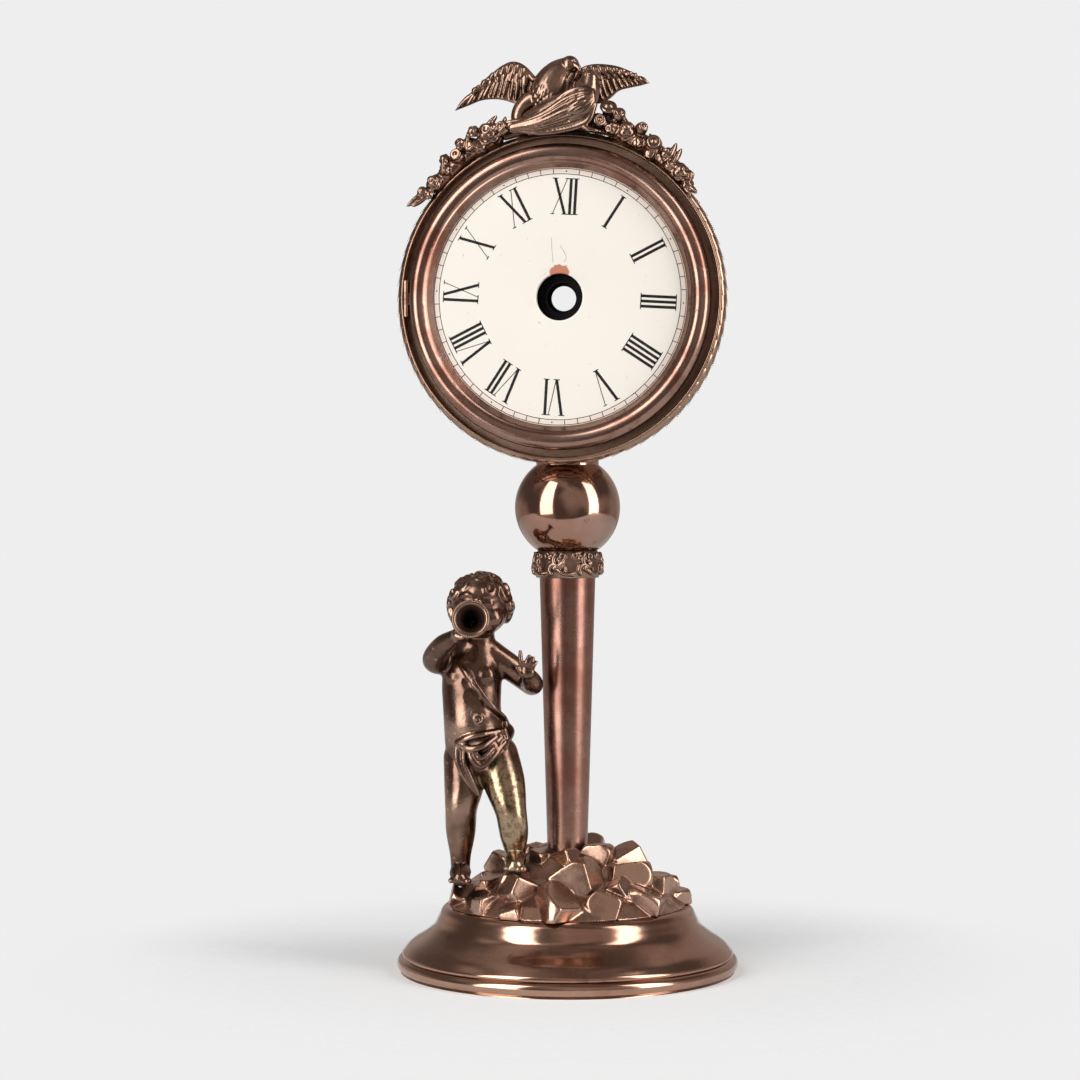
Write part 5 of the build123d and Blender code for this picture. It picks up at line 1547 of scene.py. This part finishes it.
@dataclass
class Dial:
    """Enamel dial with Roman hours, a minute track and an open centre."""

    radius: float = 46.5
    hole: float = 8.05
    back: float = -15.2
    edge: float = 0.45
    track: Pair = (42.2, 44.0)
    ring: float = 0.11
    tick: float = 0.12
    dot: float = 0.26
    feet: float = 28.4
    heads: float = 40.6
    turn: float = 3.4
    thick: float = 0.98
    thin: float = 0.25
    pitch: float = 1.75
    spread: float = 4.6
    serif_reach: float = 0.55
    serif_half: float = 0.15
    ink: float = 0.05
    crack: float = 0.045
    hours: tuple[str, ...] = ("XII", "I", "II", "III", "IIII", "V", "VI", "VII", "VIII", "IX", "X", "XI")
    cracks: tuple[tuple[Pair, ...], ...] = (
        ((-2.6, 20.4), (-2.5, 16.0), (-2.1, 11.6)),
        ((0.3, 17.6), (1.2, 16.4), (2.5, 13.6), (1.8, 12.0)),
    )

    def build(self) -> None:
        """Make the plate and its painting."""
        self.plate()
        self.painting()

    def plate(self) -> None:
        """Turn the enamel plate with a rounded edge at the hole."""
        middle = (self.hole + self.edge, DIAL_FRONT + self.edge)
        edge = arc(middle, (-self.edge, -self.edge), 0, pi / 12, 7)
        profile = [(self.hole, self.back), *edge, (self.radius, DIAL_FRONT), (self.radius, self.back)]
        shape = Shaper()
        shape.lathe(profile, 192, (0, 0, DRUM_Z), BACK)
        shape.finish("dial_plate", ENAMEL, "dial")

    def place(self, hour: float, across: float, radius: float) -> Vector:
        """Find a point on the dial.

        Args:
            hour: hour that its ray points to.
            across: step to the right of that ray.
            radius: distance from the centre.

        Returns:
            The point.
        """
        angle = radians(90 - 30 * hour - self.turn)
        ray = Vector((cos(angle), 0, sin(angle)))
        right = Vector((sin(angle), 0, -cos(angle)))
        return Vector((0, DIAL_FRONT, DRUM_Z)) + radius * ray + across * right

    def patch(self, shape: Shaper, hour: float, corners: list[Pair]) -> None:
        """Paint a flat patch with corners across and along the ray of an hour."""
        shape.slab([self.place(hour, *corner) for corner in corners], self.ink * FRONT)

    def stroke(self, shape: Shaper, hour: float, foot: float, head: float, width: float) -> None:
        """Paint one stroke of a letter with a serif at each end.

        Args:
            shape: the painting.
            hour: hour of the numeral.
            foot: place of its inner end across the ray.
            head: place of its outer end across the ray.
            width: its width.
        """
        half = width / 2
        corners = [(foot - half, self.feet), (foot + half, self.feet)]
        corners += [(head + half, self.heads), (head - half, self.heads)]
        self.patch(shape, hour, corners)
        for middle, radius in ((foot, self.feet), (head, self.heads)):
            self.serif(shape, hour, middle, radius, width)

    def serif(self, shape: Shaper, hour: float, middle: float, radius: float, width: float) -> None:
        """Paint a serif across the end of a stroke.

        Args:
            shape: the painting.
            hour: hour of the numeral.
            middle: place of the stroke's end across the ray.
            radius: its distance from the centre.
            width: width of the stroke.
        """
        reach, half = width / 2 + self.serif_reach, self.serif_half
        corners = [(-reach, -half), (reach, -half), (reach, half), (-reach, half)]
        self.patch(shape, hour, [(middle + a, radius + b) for a, b in corners])

    def numeral(self, shape: Shaper, hour: int, letters: str) -> None:
        """Paint one hour, its feet to the centre.

        Args:
            shape: the painting.
            hour: the hour.
            letters: its numeral.
        """
        widths = {"I": self.pitch, "V": self.spread + 0.7, "X": self.spread + 0.9}
        left = -sum(widths[letter] for letter in letters) / 2
        for letter in letters:
            middle = left + widths[letter] / 2
            reach = self.spread / 2
            if letter == "I":
                self.stroke(shape, hour, middle, middle, self.thick)
            elif letter == "V":
                self.stroke(shape, hour, middle, middle - reach, self.thick)
                self.stroke(shape, hour, middle + 0.2, middle + reach, self.thin)
            else:
                self.stroke(shape, hour, middle + reach - 0.4, middle - reach + 0.4, self.thick)
                self.stroke(shape, hour, middle - reach, middle + reach, self.thin)
            left += widths[letter]

    def painting(self) -> None:
        """Paint the hours, the track and the hair cracks."""
        shape = Shaper()
        for hour, letters in enumerate(self.hours):
            self.numeral(shape, hour, letters)
        for radius in self.track:
            inner, outer = radius - self.ring, radius + self.ring
            ring = [(inner, 0), (outer, 0), (outer, -self.ink), (inner, -self.ink)]
            shape.lathe([(r, DIAL_FRONT + y) for r, y in ring], 192, (0, 0, DRUM_Z), BACK)
        low, high = self.track
        tick = [(-self.tick, low), (self.tick, low), (self.tick, high), (-self.tick, high)]
        rim = arc((0, 0), (self.dot, self.dot), 0, 2 * pi / 10, 10)
        for minute in range(60):
            if minute % 5:
                self.patch(shape, minute / 5, tick)
            else:
                dot = self.place(minute / 5, 0, (low + high) / 2)
                shape.slab([dot + Vector((x, 0, z)) for x, z in rim], self.ink * FRONT)
        centre = Vector((0, DIAL_FRONT, DRUM_Z))
        for crack in self.cracks:
            line = flow([centre + Vector((x, 0, z)) for x, z in crack], 4)
            for start, end in zip(line, line[1:]):
                side = self.crack * (end - start).cross(FRONT).normalized()
                shape.slab([start - side, end - side, end + side, start + side], 0.4 * self.ink * FRONT)
        shape.finish("dial_painting", INK)


@dataclass
class Crest:
    """Two doves billing on top of the drum, and the garlands on its shoulders.

    Spread wings are given by their leading edge out to the tip and their hem back to the body, the folded
    wing by its upper and lower edge, flowers by kind, angle round the drum, distance beyond the border and
    radius, leaves by the two ends of each and its width.
    """

    top: float = 292.3
    border_r: float = 57.7
    depth: float = -17.0
    wing_y: float = -7.6
    left_edge: tuple[Pair, ...] = (
        (-8.0, 15.0), (-12.3, 20.4), (-15.4, 23.2), (-18.8, 23.9), (-22.6, 22.2), (-26.2, 19.4),
        (-32.7, 14.0), (-39.0, 8.2),
    )
    left_hem: tuple[Pair, ...] = (
        (-39.0, 8.2), (-34.4, 9.8), (-29.5, 11.6), (-25.0, 12.0), (-20.9, 11.4), (-15.0, 9.5), (-8.0, 8.6),
    )
    right_edge: tuple[Pair, ...] = (
        (2.6, 17.4), (6.6, 21.0), (10.4, 22.2), (15.2, 22.1), (20.0, 21.1), (25.2, 18.8), (30.0, 16.3),
    )
    right_hem: tuple[Pair, ...] = (
        (30.0, 16.3), (26.6, 15.4), (23.2, 14.8), (19.2, 13.8), (16.0, 11.2), (12.4, 9.6), (6.0, 9.6),
    )
    fold_y: float = -20.4
    fold_upper: tuple[Pair, ...] = ((11.8, 11.8), (7.6, 12.6), (2.5, 10.8), (-5.5, 5.2), (-16.0, 0.8))
    fold_lower: tuple[Pair, ...] = ((12.6, 7.4), (10.2, 1.6), (3.0, -0.9), (-6.0, -1.8), (-16.0, -0.4))
    left_flowers: tuple = (
        (Bloom.ROSE, 113.4, 4.0, 4.6), (Bloom.BALL, 108.6, 3.4, 2.6), (Bloom.BALL, 117.6, 7.0, 2.2),
        (Bloom.TRUMPET, 120.4, 3.0, 3.0), (Bloom.RINGED, 126.0, 2.6, 3.1), (Bloom.BALL, 123.0, 5.4, 2.0),
        (Bloom.BALL, 130.0, 4.6, 1.9), (Bloom.BALL, 132.1, 1.7, 2.2), (Bloom.ROSE, 137.7, 1.7, 3.3),
        (Bloom.BALL, 142.6, 2.6, 2.0), (Bloom.BALL, 141.8, 0.4, 1.8), (Bloom.BALL, 118.0, 1.2, 2.4),
    )
    right_flowers: tuple = (
        (Bloom.TRUMPET, 75.0, 8.6, 3.2), (Bloom.BALL, 77.4, 3.6, 2.8), (Bloom.BALL, 71.4, 7.4, 2.3),
        (Bloom.ROSE, 67.3, 3.2, 4.0), (Bloom.BALL, 72.4, 2.4, 2.8), (Bloom.BALL, 63.4, 6.0, 2.2),
        (Bloom.RINGED, 57.6, 3.2, 3.7), (Bloom.BALL, 61.6, 1.6, 2.4), (Bloom.BALL, 56.6, -0.4, 2.0),
        (Bloom.BALL, 52.4, 3.2, 2.4), (Bloom.ROSE, 45.2, 1.6, 3.6), (Bloom.BALL, 49.2, 0.6, 2.2),
        (Bloom.BALL, 40.4, 0.4, 2.2), (Bloom.BALL, 42.2, 3.0, 1.7),
    )
    left_leaves: tuple = (
        ((110.6, 1.0), (106.6, 7.6), 2.8), ((113.0, 6.4), (109.0, 8.6), 2.4),
        ((122.6, 2.0), (119.0, 8.0), 2.6), ((133.6, 1.0), (129.0, 6.6), 2.4),
        ((142.0, 2.6), (149.4, 4.2), 2.6), ((142.4, 0.6), (148.6, 2.6), 2.0),
    )
    right_leaves: tuple = (
        ((71.0, 1.8), (76.0, 4.6), 2.6), ((65.0, 2.0), (70.0, 8.0), 2.4), ((54.6, 1.2), (60.6, 6.2), 2.6),
        ((50.6, 2.6), (52.0, 8.4), 2.6), ((48.4, 2.4), (49.8, 8.0), 2.4), ((41.0, 0.8), (35.6, 1.2), 2.6),
        ((41.6, -1.0), (36.4, -0.8), 2.0),
    )

    def build(self) -> None:
        """Cast the four pieces."""
        self.spread_dove()
        self.folded_dove()
        self.garland("garland_left", self.left_flowers, self.left_leaves)
        self.garland("garland_right", self.right_flowers, self.right_leaves)

    def at(self, x: float, y: float, rise: float) -> Vector:
        """Point over the top of the border."""
        return Vector((x, y, self.top + rise))

    def run(self, *points: Triple) -> list[Vector]:
        """Points over the top of the border, each by x, y and rise."""
        return [self.at(*point) for point in points]

    def wing(self, shape: Shaper, edge: tuple, hem: tuple, quills: int) -> None:
        """Add a spread wing: a thin blade with long quills and two rows of short feathers.

        Args:
            shape: the dove in the making.
            edge: leading edge from the shoulder to the tip.
            hem: trailing edge from the tip back to the body.
            quills: number of long feathers.
        """
        lead = flow([self.at(x, self.wing_y, rise) for x, rise in edge], 6)
        trail = flow([self.at(x, self.wing_y, rise) for x, rise in hem], 6)
        shape.slab([*lead, *trail[1:]], Vector((0, 1.5, 0)))
        shape.chain(lead[2:-3:4], [1.2 - 0.09 * k for k in range(len(lead[2:-3:4]))], 6)
        for k in range(quills):
            share = k / (quills - 1)
            root = lead[round((0.24 + 0.62 * share) * (len(lead) - 1))]
            tip = trail[round((0.86 - 0.84 * share) * (len(trail) - 1))]
            layer = Vector((0, -0.05 * (quills - k), 0))
            shape.leaf(root + layer, root.lerp(tip, 0.93) + layer, FRONT, 2.1, 1.4, 0.2, 0.4)
        for row, depth in enumerate((0.5, 0.3)):
            for k in range(8):
                share = (k + 0.5 * row) / 8
                root = lead[round((0.2 + 0.66 * share) * (len(lead) - 1))]
                tip = trail[round((0.86 - 0.8 * share) * (len(trail) - 1))]
                layer = Vector((0, -0.85 - 0.35 * row, 0))
                shape.leaf(root + layer, root.lerp(tip, depth) + layer, FRONT, 2.5, 1.4, 0.0, 0.35)

    def plumage(self, shape: Shaper, spine: list[Vector], radii: tuple, rows: int, across: int) -> None:
        """Lay small feathers over the front of a body, tips to its tail.

        Args:
            shape: the dove in the making.
            spine: line through the body, from the tail to the head.
            radii: radius of the body at each of its points.
            rows: rows of feathers between each two points.
            across: feathers in a row.
        """
        line = flow(spine, rows)
        sizes = [size.x for size in flow([(radius, 0, 0) for radius in radii], rows)]
        for k in range(1, len(line) - 1):
            along = (line[k - 1] - line[k + 1]).normalized()
            side = along.cross(FRONT).normalized()
            for column in range(across):
                turn = radians(-80 + 160 * (column + 0.5 * (k % 2)) / (across - 0.5))
                out = FRONT * cos(turn) + side * sin(turn)
                root = line[k] + 0.93 * sizes[k] * out
                tip = root + 2.9 * along + 0.55 * out
                shape.leaf(root, tip, out, 2.3, 0.9, 0.05, 0.3)

    def spread_dove(self) -> None:
        """Cast the dove behind, wings spread and head bent to the other."""
        spine = self.run((-5.2, -7.0, 9.6), (-4.4, -7.4, 14.0), (-2.2, -7.4, 18.6), (1.2, -7.8, 21.8))
        radii = (6.2, 7.4, 6.0, 4.0)
        shape = Shaper()
        shape.chain(spine, radii, 10, 3)
        self.plumage(shape, spine, radii, 4, 8)
        shape.ball(self.at(2.4, -9.4, 22.7), 3.3)
        beak = self.run((4.4, -11.0, 22.8), (5.8, -11.6, 21.6), (6.4, -12.0, 20.4))
        shape.chain(beak, (1.3, 0.9, 0.45), 6)
        shape.ball(self.at(4.2, -12.0, 23.9), 0.6)
        skirt = self.run((-8.0, -7.4, 12.0), (-13.0, -8.2, 9.4), (-15.4, -9.4, 5.6), (-15.0, -10.4, 1.4))
        shape.chain(skirt, (4.4, 3.7, 2.9, 2.2), 9, 3)
        shape.chain(self.run((-5.4, -6.6, 10.4), (-4.4, -7.4, -1.6)), (4.4, 3.8))
        self.wing(shape, self.left_edge, self.left_hem, 13)
        self.wing(shape, self.right_edge, self.right_hem, 11)
        shape.finish("dove_spread_casting", CAST, "dove_spread", voxel=0.24, relax=2)

    def folded_dove(self) -> None:
        """Cast the dove in front, its wing folded and its tail to the left."""
        spine = self.run((-9.6, -17.0, 3.0), (-1.6, -17.2, 5.6), (6.2, -17.2, 8.4))
        spine += self.run((10.0, -16.8, 12.4), (10.8, -16.2, 16.4))
        shape = Shaper()
        shape.chain(spine, (3.4, 5.4, 5.6, 4.0, 3.0), 10, 3)
        shape.ball(self.at(10.3, -15.8, 17.4), 2.9)
        shape.chain(self.run((8.8, -15.0, 18.6), (7.2, -13.4, 19.4)), (1.1, 0.45), 6)
        shape.ball(self.at(10.4, -18.4, 18.2), 0.55)
        upper = flow([self.at(x, self.fold_y, rise) for x, rise in self.fold_upper], 8)
        lower = flow([self.at(x, self.fold_y, rise) for x, rise in self.fold_lower], 8)
        for k in range(7):
            share = k / 6
            line = []
            for above, below in zip(upper[::4], lower[::4]):
                swell = 2.3 * sin(pi * min(0.94, 0.08 + share)) * min(1.0, (above - below).length / 8)
                line.append(above.lerp(below, share) + swell * FRONT)
            shape.chain(line, [1.35 - 0.07 * place for place in range(len(line))], 12)
        for row in range(3):
            for k in range(4):
                above, below = upper[2 + 3 * row], lower[2 + 3 * row]
                root = above.lerp(below, (k + 0.3 + 0.5 * (row % 2)) / 4.6)
                swell = 2.9 * sin(pi * (k + 0.8) / 4.6)
                tip = root + Vector((-5.4, 0, -2.6))
                shape.leaf(root + swell * FRONT, tip + 0.97 * swell * FRONT, FRONT, 3.3, 1.7, 0.05, 0.3)
        for k in range(4):
            start = self.at(-6.0, -18.6, 3.4 - 1.2 * k)
            shape.leaf(start, self.at(-19.0 + 0.6 * k, -18.4, 2.2 - 1.0 * k), FRONT, 2.3, 1.3, 0.0, 0.3)
        shape.chain(self.run((1.0, -15.6, 3.0), (1.0, -14.4, 0.9)), (3.8, 2.2))
        perch = [on_drum(angle, 58.9, -14.4) for angle in (109, 100, 90, 81, 74)]
        shape.chain(perch, (1.4, 1.7, 1.8, 1.7, 1.4), 14)
        leg = self.run((6.4, -19.4, 2.6), (9.0, -20.6, 0.4), (11.0, -21.0, -1.0))
        shape.chain(leg, (1.6, 1.3, 1.0), 7)
        for k in range(3):
            claw = self.run((10.6, -21.0, -0.6), (13.0 + 0.6 * k, -21.2 + 1.6 * k, -1.4))
            shape.chain(claw, (0.9, 0.6), 5)
        shape.finish("dove_folded_casting", CAST, "dove_folded", voxel=0.24, relax=1)

    def garland(self, node: str, flowers: tuple, leaves: tuple) -> None:
        """Cast one garland: flowers on a thick bed, with leaves between them.

        Args:
            node: the node that it stands for.
            flowers: its flowers.
            leaves: its leaves.
        """
        shape = Shaper()
        bed = sorted((angle, out, size) for kind, angle, out, size in flowers if kind is not Bloom.BALL)
        line = [on_drum(angle, self.border_r + 0.55 * out, self.depth + 2.2) for angle, out, _ in bed]
        shape.chain(line, [0.9 * size for _, _, size in bed], 10)
        for kind, angle, out, size in flowers:
            ray = on_drum(angle, 1.0, 0) - Vector((0, 0, DRUM_Z))
            face = FRONT + 0.4 * ray
            centre = on_drum(angle, self.border_r + out, self.depth - 0.15 * size)
            if kind is Bloom.ROSE:
                shape.rose(centre, size, face)
            elif kind is Bloom.RINGED:
                shape.bud(centre, size, face)
            elif kind is Bloom.TRUMPET:
                shape.trumpet(centre, size, FRONT + 0.9 * ray)
            else:
                tilt = Vector((sin(3.1 * angle), 0, cos(2.3 * angle)))
                bloom = shape.bud if round(angle) % 2 else shape.rose
                bloom(centre, 1.18 * size, face + 0.5 * tilt)
            shape.ball(centre - 1.4 * FRONT, (0.8 * size, 2.6, 0.8 * size))
        for root, tip, width in leaves:
            ends = [on_drum(angle, self.border_r + out, self.depth - 1.2) for angle, out in (root, tip)]
            shape.leaf(*ends, FRONT + 0.3 * UP, width, 2.0, 0.25, 0.45)
        shape.finish(f"{node}_casting", CAST, node, voxel=0.26, relax=6)


@dataclass
class Fittings:
    """Construction pieces that keep their own solids and get their finish here."""

    finishes: dict[Finish, tuple[str, ...]] = field(
        default_factory=lambda: {
            PLATE: ("drum_shell", "rear_door", "rear_door_leaf", "rear_door_knob"),
            BORDER: ("bezel_hinge_leaf",),
            BEZEL_PLATE: ("bezel",),
            STEEL: (
                "saddle_screws", "tie_rod", "tie_rod_washer", "tie_rod_nut", "figure_screws", "crest_screws",
                "hinge_pins", "pillar_screws", "motion_stud", "barrel_arbor", "ratchet_wheel", "click",
                "click_screw", "mainspring", "intermediate_pinion", "third_pinion", "fourth_pinion",
                "escape_pinion", "escape_wheel", "pallet_lever", "balance_staff", "hairspring",
            ),
            # Parts seen through the dial's hole; their near-black finish also paints the shade there.
            BLACKENED_SHADE: ("sight_tube", "centre_pinion", "hour_wheel"),
        }
    )

    def build(self) -> None:
        """Give every node that no finish names the movement's brass."""
        named = {node: finish for finish, nodes in self.finishes.items() for node in nodes}
        for name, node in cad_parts.items():
            finish = named.get(name, BRASS)
            node.data.materials.clear()
            node.data.materials.append(finish.material())
            LOG.info("%s: its own solid, in %s", name, finish.name)


@dataclass
class Studio:
    """Pale floor and background, two tall soft boxes, a dark cloth and the camera."""

    pale: float = 0.855
    ambient: float = 0.16
    boxes: tuple = (("box_left", -37.5, 0.52, 13.6), ("box_right", 69.5, 0.41, 10.9))
    tall: float = 1.6
    middle: float = 0.72
    reach: float = 1.0
    cloth_r: float = 1.35
    cloth_low: float = -0.9
    cloth_high: float = 1.9
    dark: Colour = (0.15, 0.128, 0.118, 1)
    dim: Colour = (0.47, 0.405, 0.37, 1)
    fade: Pair = (0.075, 0.2)
    table_edge: float = -0.33
    lift: float = 0.21
    camera_at: Triple = (166.8, -965.7, 172.0)
    aim: Triple = (-9.5, -1.6, 150.7)
    lens: float = 93.3
    floor_r: float = 900.0

    def build(self) -> None:
        """Set the scene."""
        bpy.context.scene.view_settings.view_transform = "Standard"
        self.world()
        self.floor()
        self.lights()
        self.tent()
        self.camera()

    def world(self) -> None:
        """Pale to the camera and in reflections, dimmer as light."""
        world = bpy.data.worlds.new("studio")
        bpy.context.scene.world = world
        world.use_nodes = True
        desk = NodeDesk(world.node_tree)
        path = desk.add("LightPath").outputs
        seen = desk.math("MAXIMUM", path["Is Camera Ray"], path["Is Glossy Ray"])
        seen = desk.math("MAXIMUM", seen, path["Is Transmission Ray"])
        level = desk.plus(seen, self.pale - self.ambient, self.ambient)
        sky = desk.add("Background", Color=(1, 1, 1, 1), Strength=level)
        desk.add("OutputWorld", Surface=sky.outputs[0])

    def floor(self) -> None:
        """Lay a pale table top that fades into the background, so that only the shadow shows."""
        shape = bmesh.new()
        bmesh.ops.create_circle(shape, cap_ends=True, segments=96, radius=self.floor_r * MM)
        made, desk = new_material("pale_floor")
        place = desk.place()
        path = desk.add("LightPath").outputs
        reach = desk.add("VectorMath", {"operation": "LENGTH"})
        desk.feed(reach.inputs[0], place)
        fade = desk.ramp(reach.outputs["Value"], *self.fade)
        depth = desk.add("SeparateXYZ", Vector=place).outputs["Y"]
        beyond = desk.ramp(depth, self.table_edge, self.table_edge - 0.02)
        fade = desk.plus(path["Is Glossy Ray"], desk.math("SUBTRACT", beyond, fade), fade)
        grain = desk.ramp(desk.noise(place, 240.0), 0.3, 0.7)
        speck = desk.blend(grain, (0.82, 0.82, 0.82, 1), (0.85, 0.85, 0.85, 1))
        matte = desk.add("BsdfDiffuse", Color=speck)
        seen = desk.math("MAXIMUM", path["Is Camera Ray"], path["Is Glossy Ray"])
        glow = desk.add("Emission", Color=(1, 1, 1, 1), Strength=desk.times(seen, self.lift))
        top = desk.add("AddShader")
        desk.feed(top.inputs[0], matte.outputs[0])
        desk.feed(top.inputs[1], glow.outputs[0])
        mix = desk.add("MixShader", Fac=fade)
        desk.feed(mix.inputs[1], top.outputs[0])
        desk.feed(mix.inputs[2], desk.add("BsdfTransparent").outputs[0])
        desk.add("OutputMaterial", Surface=mix.outputs[0])
        self.stand_in("floor", shape, made)

    def lights(self) -> None:
        """Hang two tall soft boxes in front, upright, from the table up."""
        for name, angle, wide, power in self.boxes:
            turn = radians(angle)
            data = bpy.data.lights.new(name, "AREA")
            data.shape = "RECTANGLE"
            data.size, data.size_y = wide, self.tall
            data.energy = power
            lamp = put(name, data)
            spot = Vector((self.reach * sin(turn), -self.reach * cos(turn), self.middle))
            lamp.location = spot
            lamp.rotation_euler = Vector((-spot.x, -spot.y, 0)).to_track_quat("-Z", "Y").to_euler()
            lamp.visible_camera = False

    def tent(self) -> None:
        """Hang an unevenly dark cloth all round and overhead, which only the polished metal shows."""
        shape = bmesh.new()
        low, high = (shape.verts.new((0, -self.cloth_r, z)) for z in (self.cloth_low, self.cloth_high))
        edge = shape.edges.new((low, high))
        geom = [low, high, edge]
        bmesh.ops.spin(shape, geom=geom, cent=(0, 0, 0), axis=UP, angle=2 * pi, steps=64, use_merge=True)
        roof = Matrix.Translation((0, 0, self.cloth_high))
        bmesh.ops.create_circle(shape, cap_ends=True, segments=64, radius=self.cloth_r, matrix=roof)
        made, desk = new_material("dark_cloth")
        cloud = desk.noise(desk.place(), 0.9, 1.0, 0.4)
        tone = desk.blend(desk.ramp(cloud, 0.38, 0.64), self.dark, self.dim)
        desk.add("OutputMaterial", Surface=desk.add("Emission", Color=tone).outputs[0])
        cloth = self.stand_in("dark_cloth", shape, made)
        cloth.visible_camera = False
        cloth.visible_diffuse = False
        cloth.visible_shadow = False

    @staticmethod
    def stand_in(name: str, shape: bmesh.types.BMesh, made: bpy.types.Material) -> bpy.types.Object:
        """Place a mesh of the studio, which is not part of the clock.

        Args:
            name: its name.
            shape: its mesh, which is used up.
            made: its material.

        Returns:
            The object.
        """
        mesh = bpy.data.meshes.new(name)
        shape.to_mesh(mesh)
        shape.free()
        mesh.materials.append(made)
        thing = put(name, mesh)
        return thing

    def camera(self) -> None:
        """Place the camera a little to the right and level with the ball."""
        data = bpy.data.cameras.new("camera")
        data.lens = self.lens
        camera = put("camera", data)
        spot = Vector(self.camera_at) * MM
        camera.location = spot
        camera.rotation_euler = (Vector(self.aim) * MM - spot).to_track_quat("-Z", "Y").to_euler()
        bpy.context.scene.camera = camera


def main() -> None:
    """Dress the clock and set its studio."""
    logging.basicConfig(level=logging.INFO, format="%(name)s %(message)s")
    for assembly in (Fittings(), Foot(), RockMound(), Stand(), Cherub(), Drum(), Dial(), Crest(), Studio()):
        assembly.build()


if __name__ == "__main__":
    main()
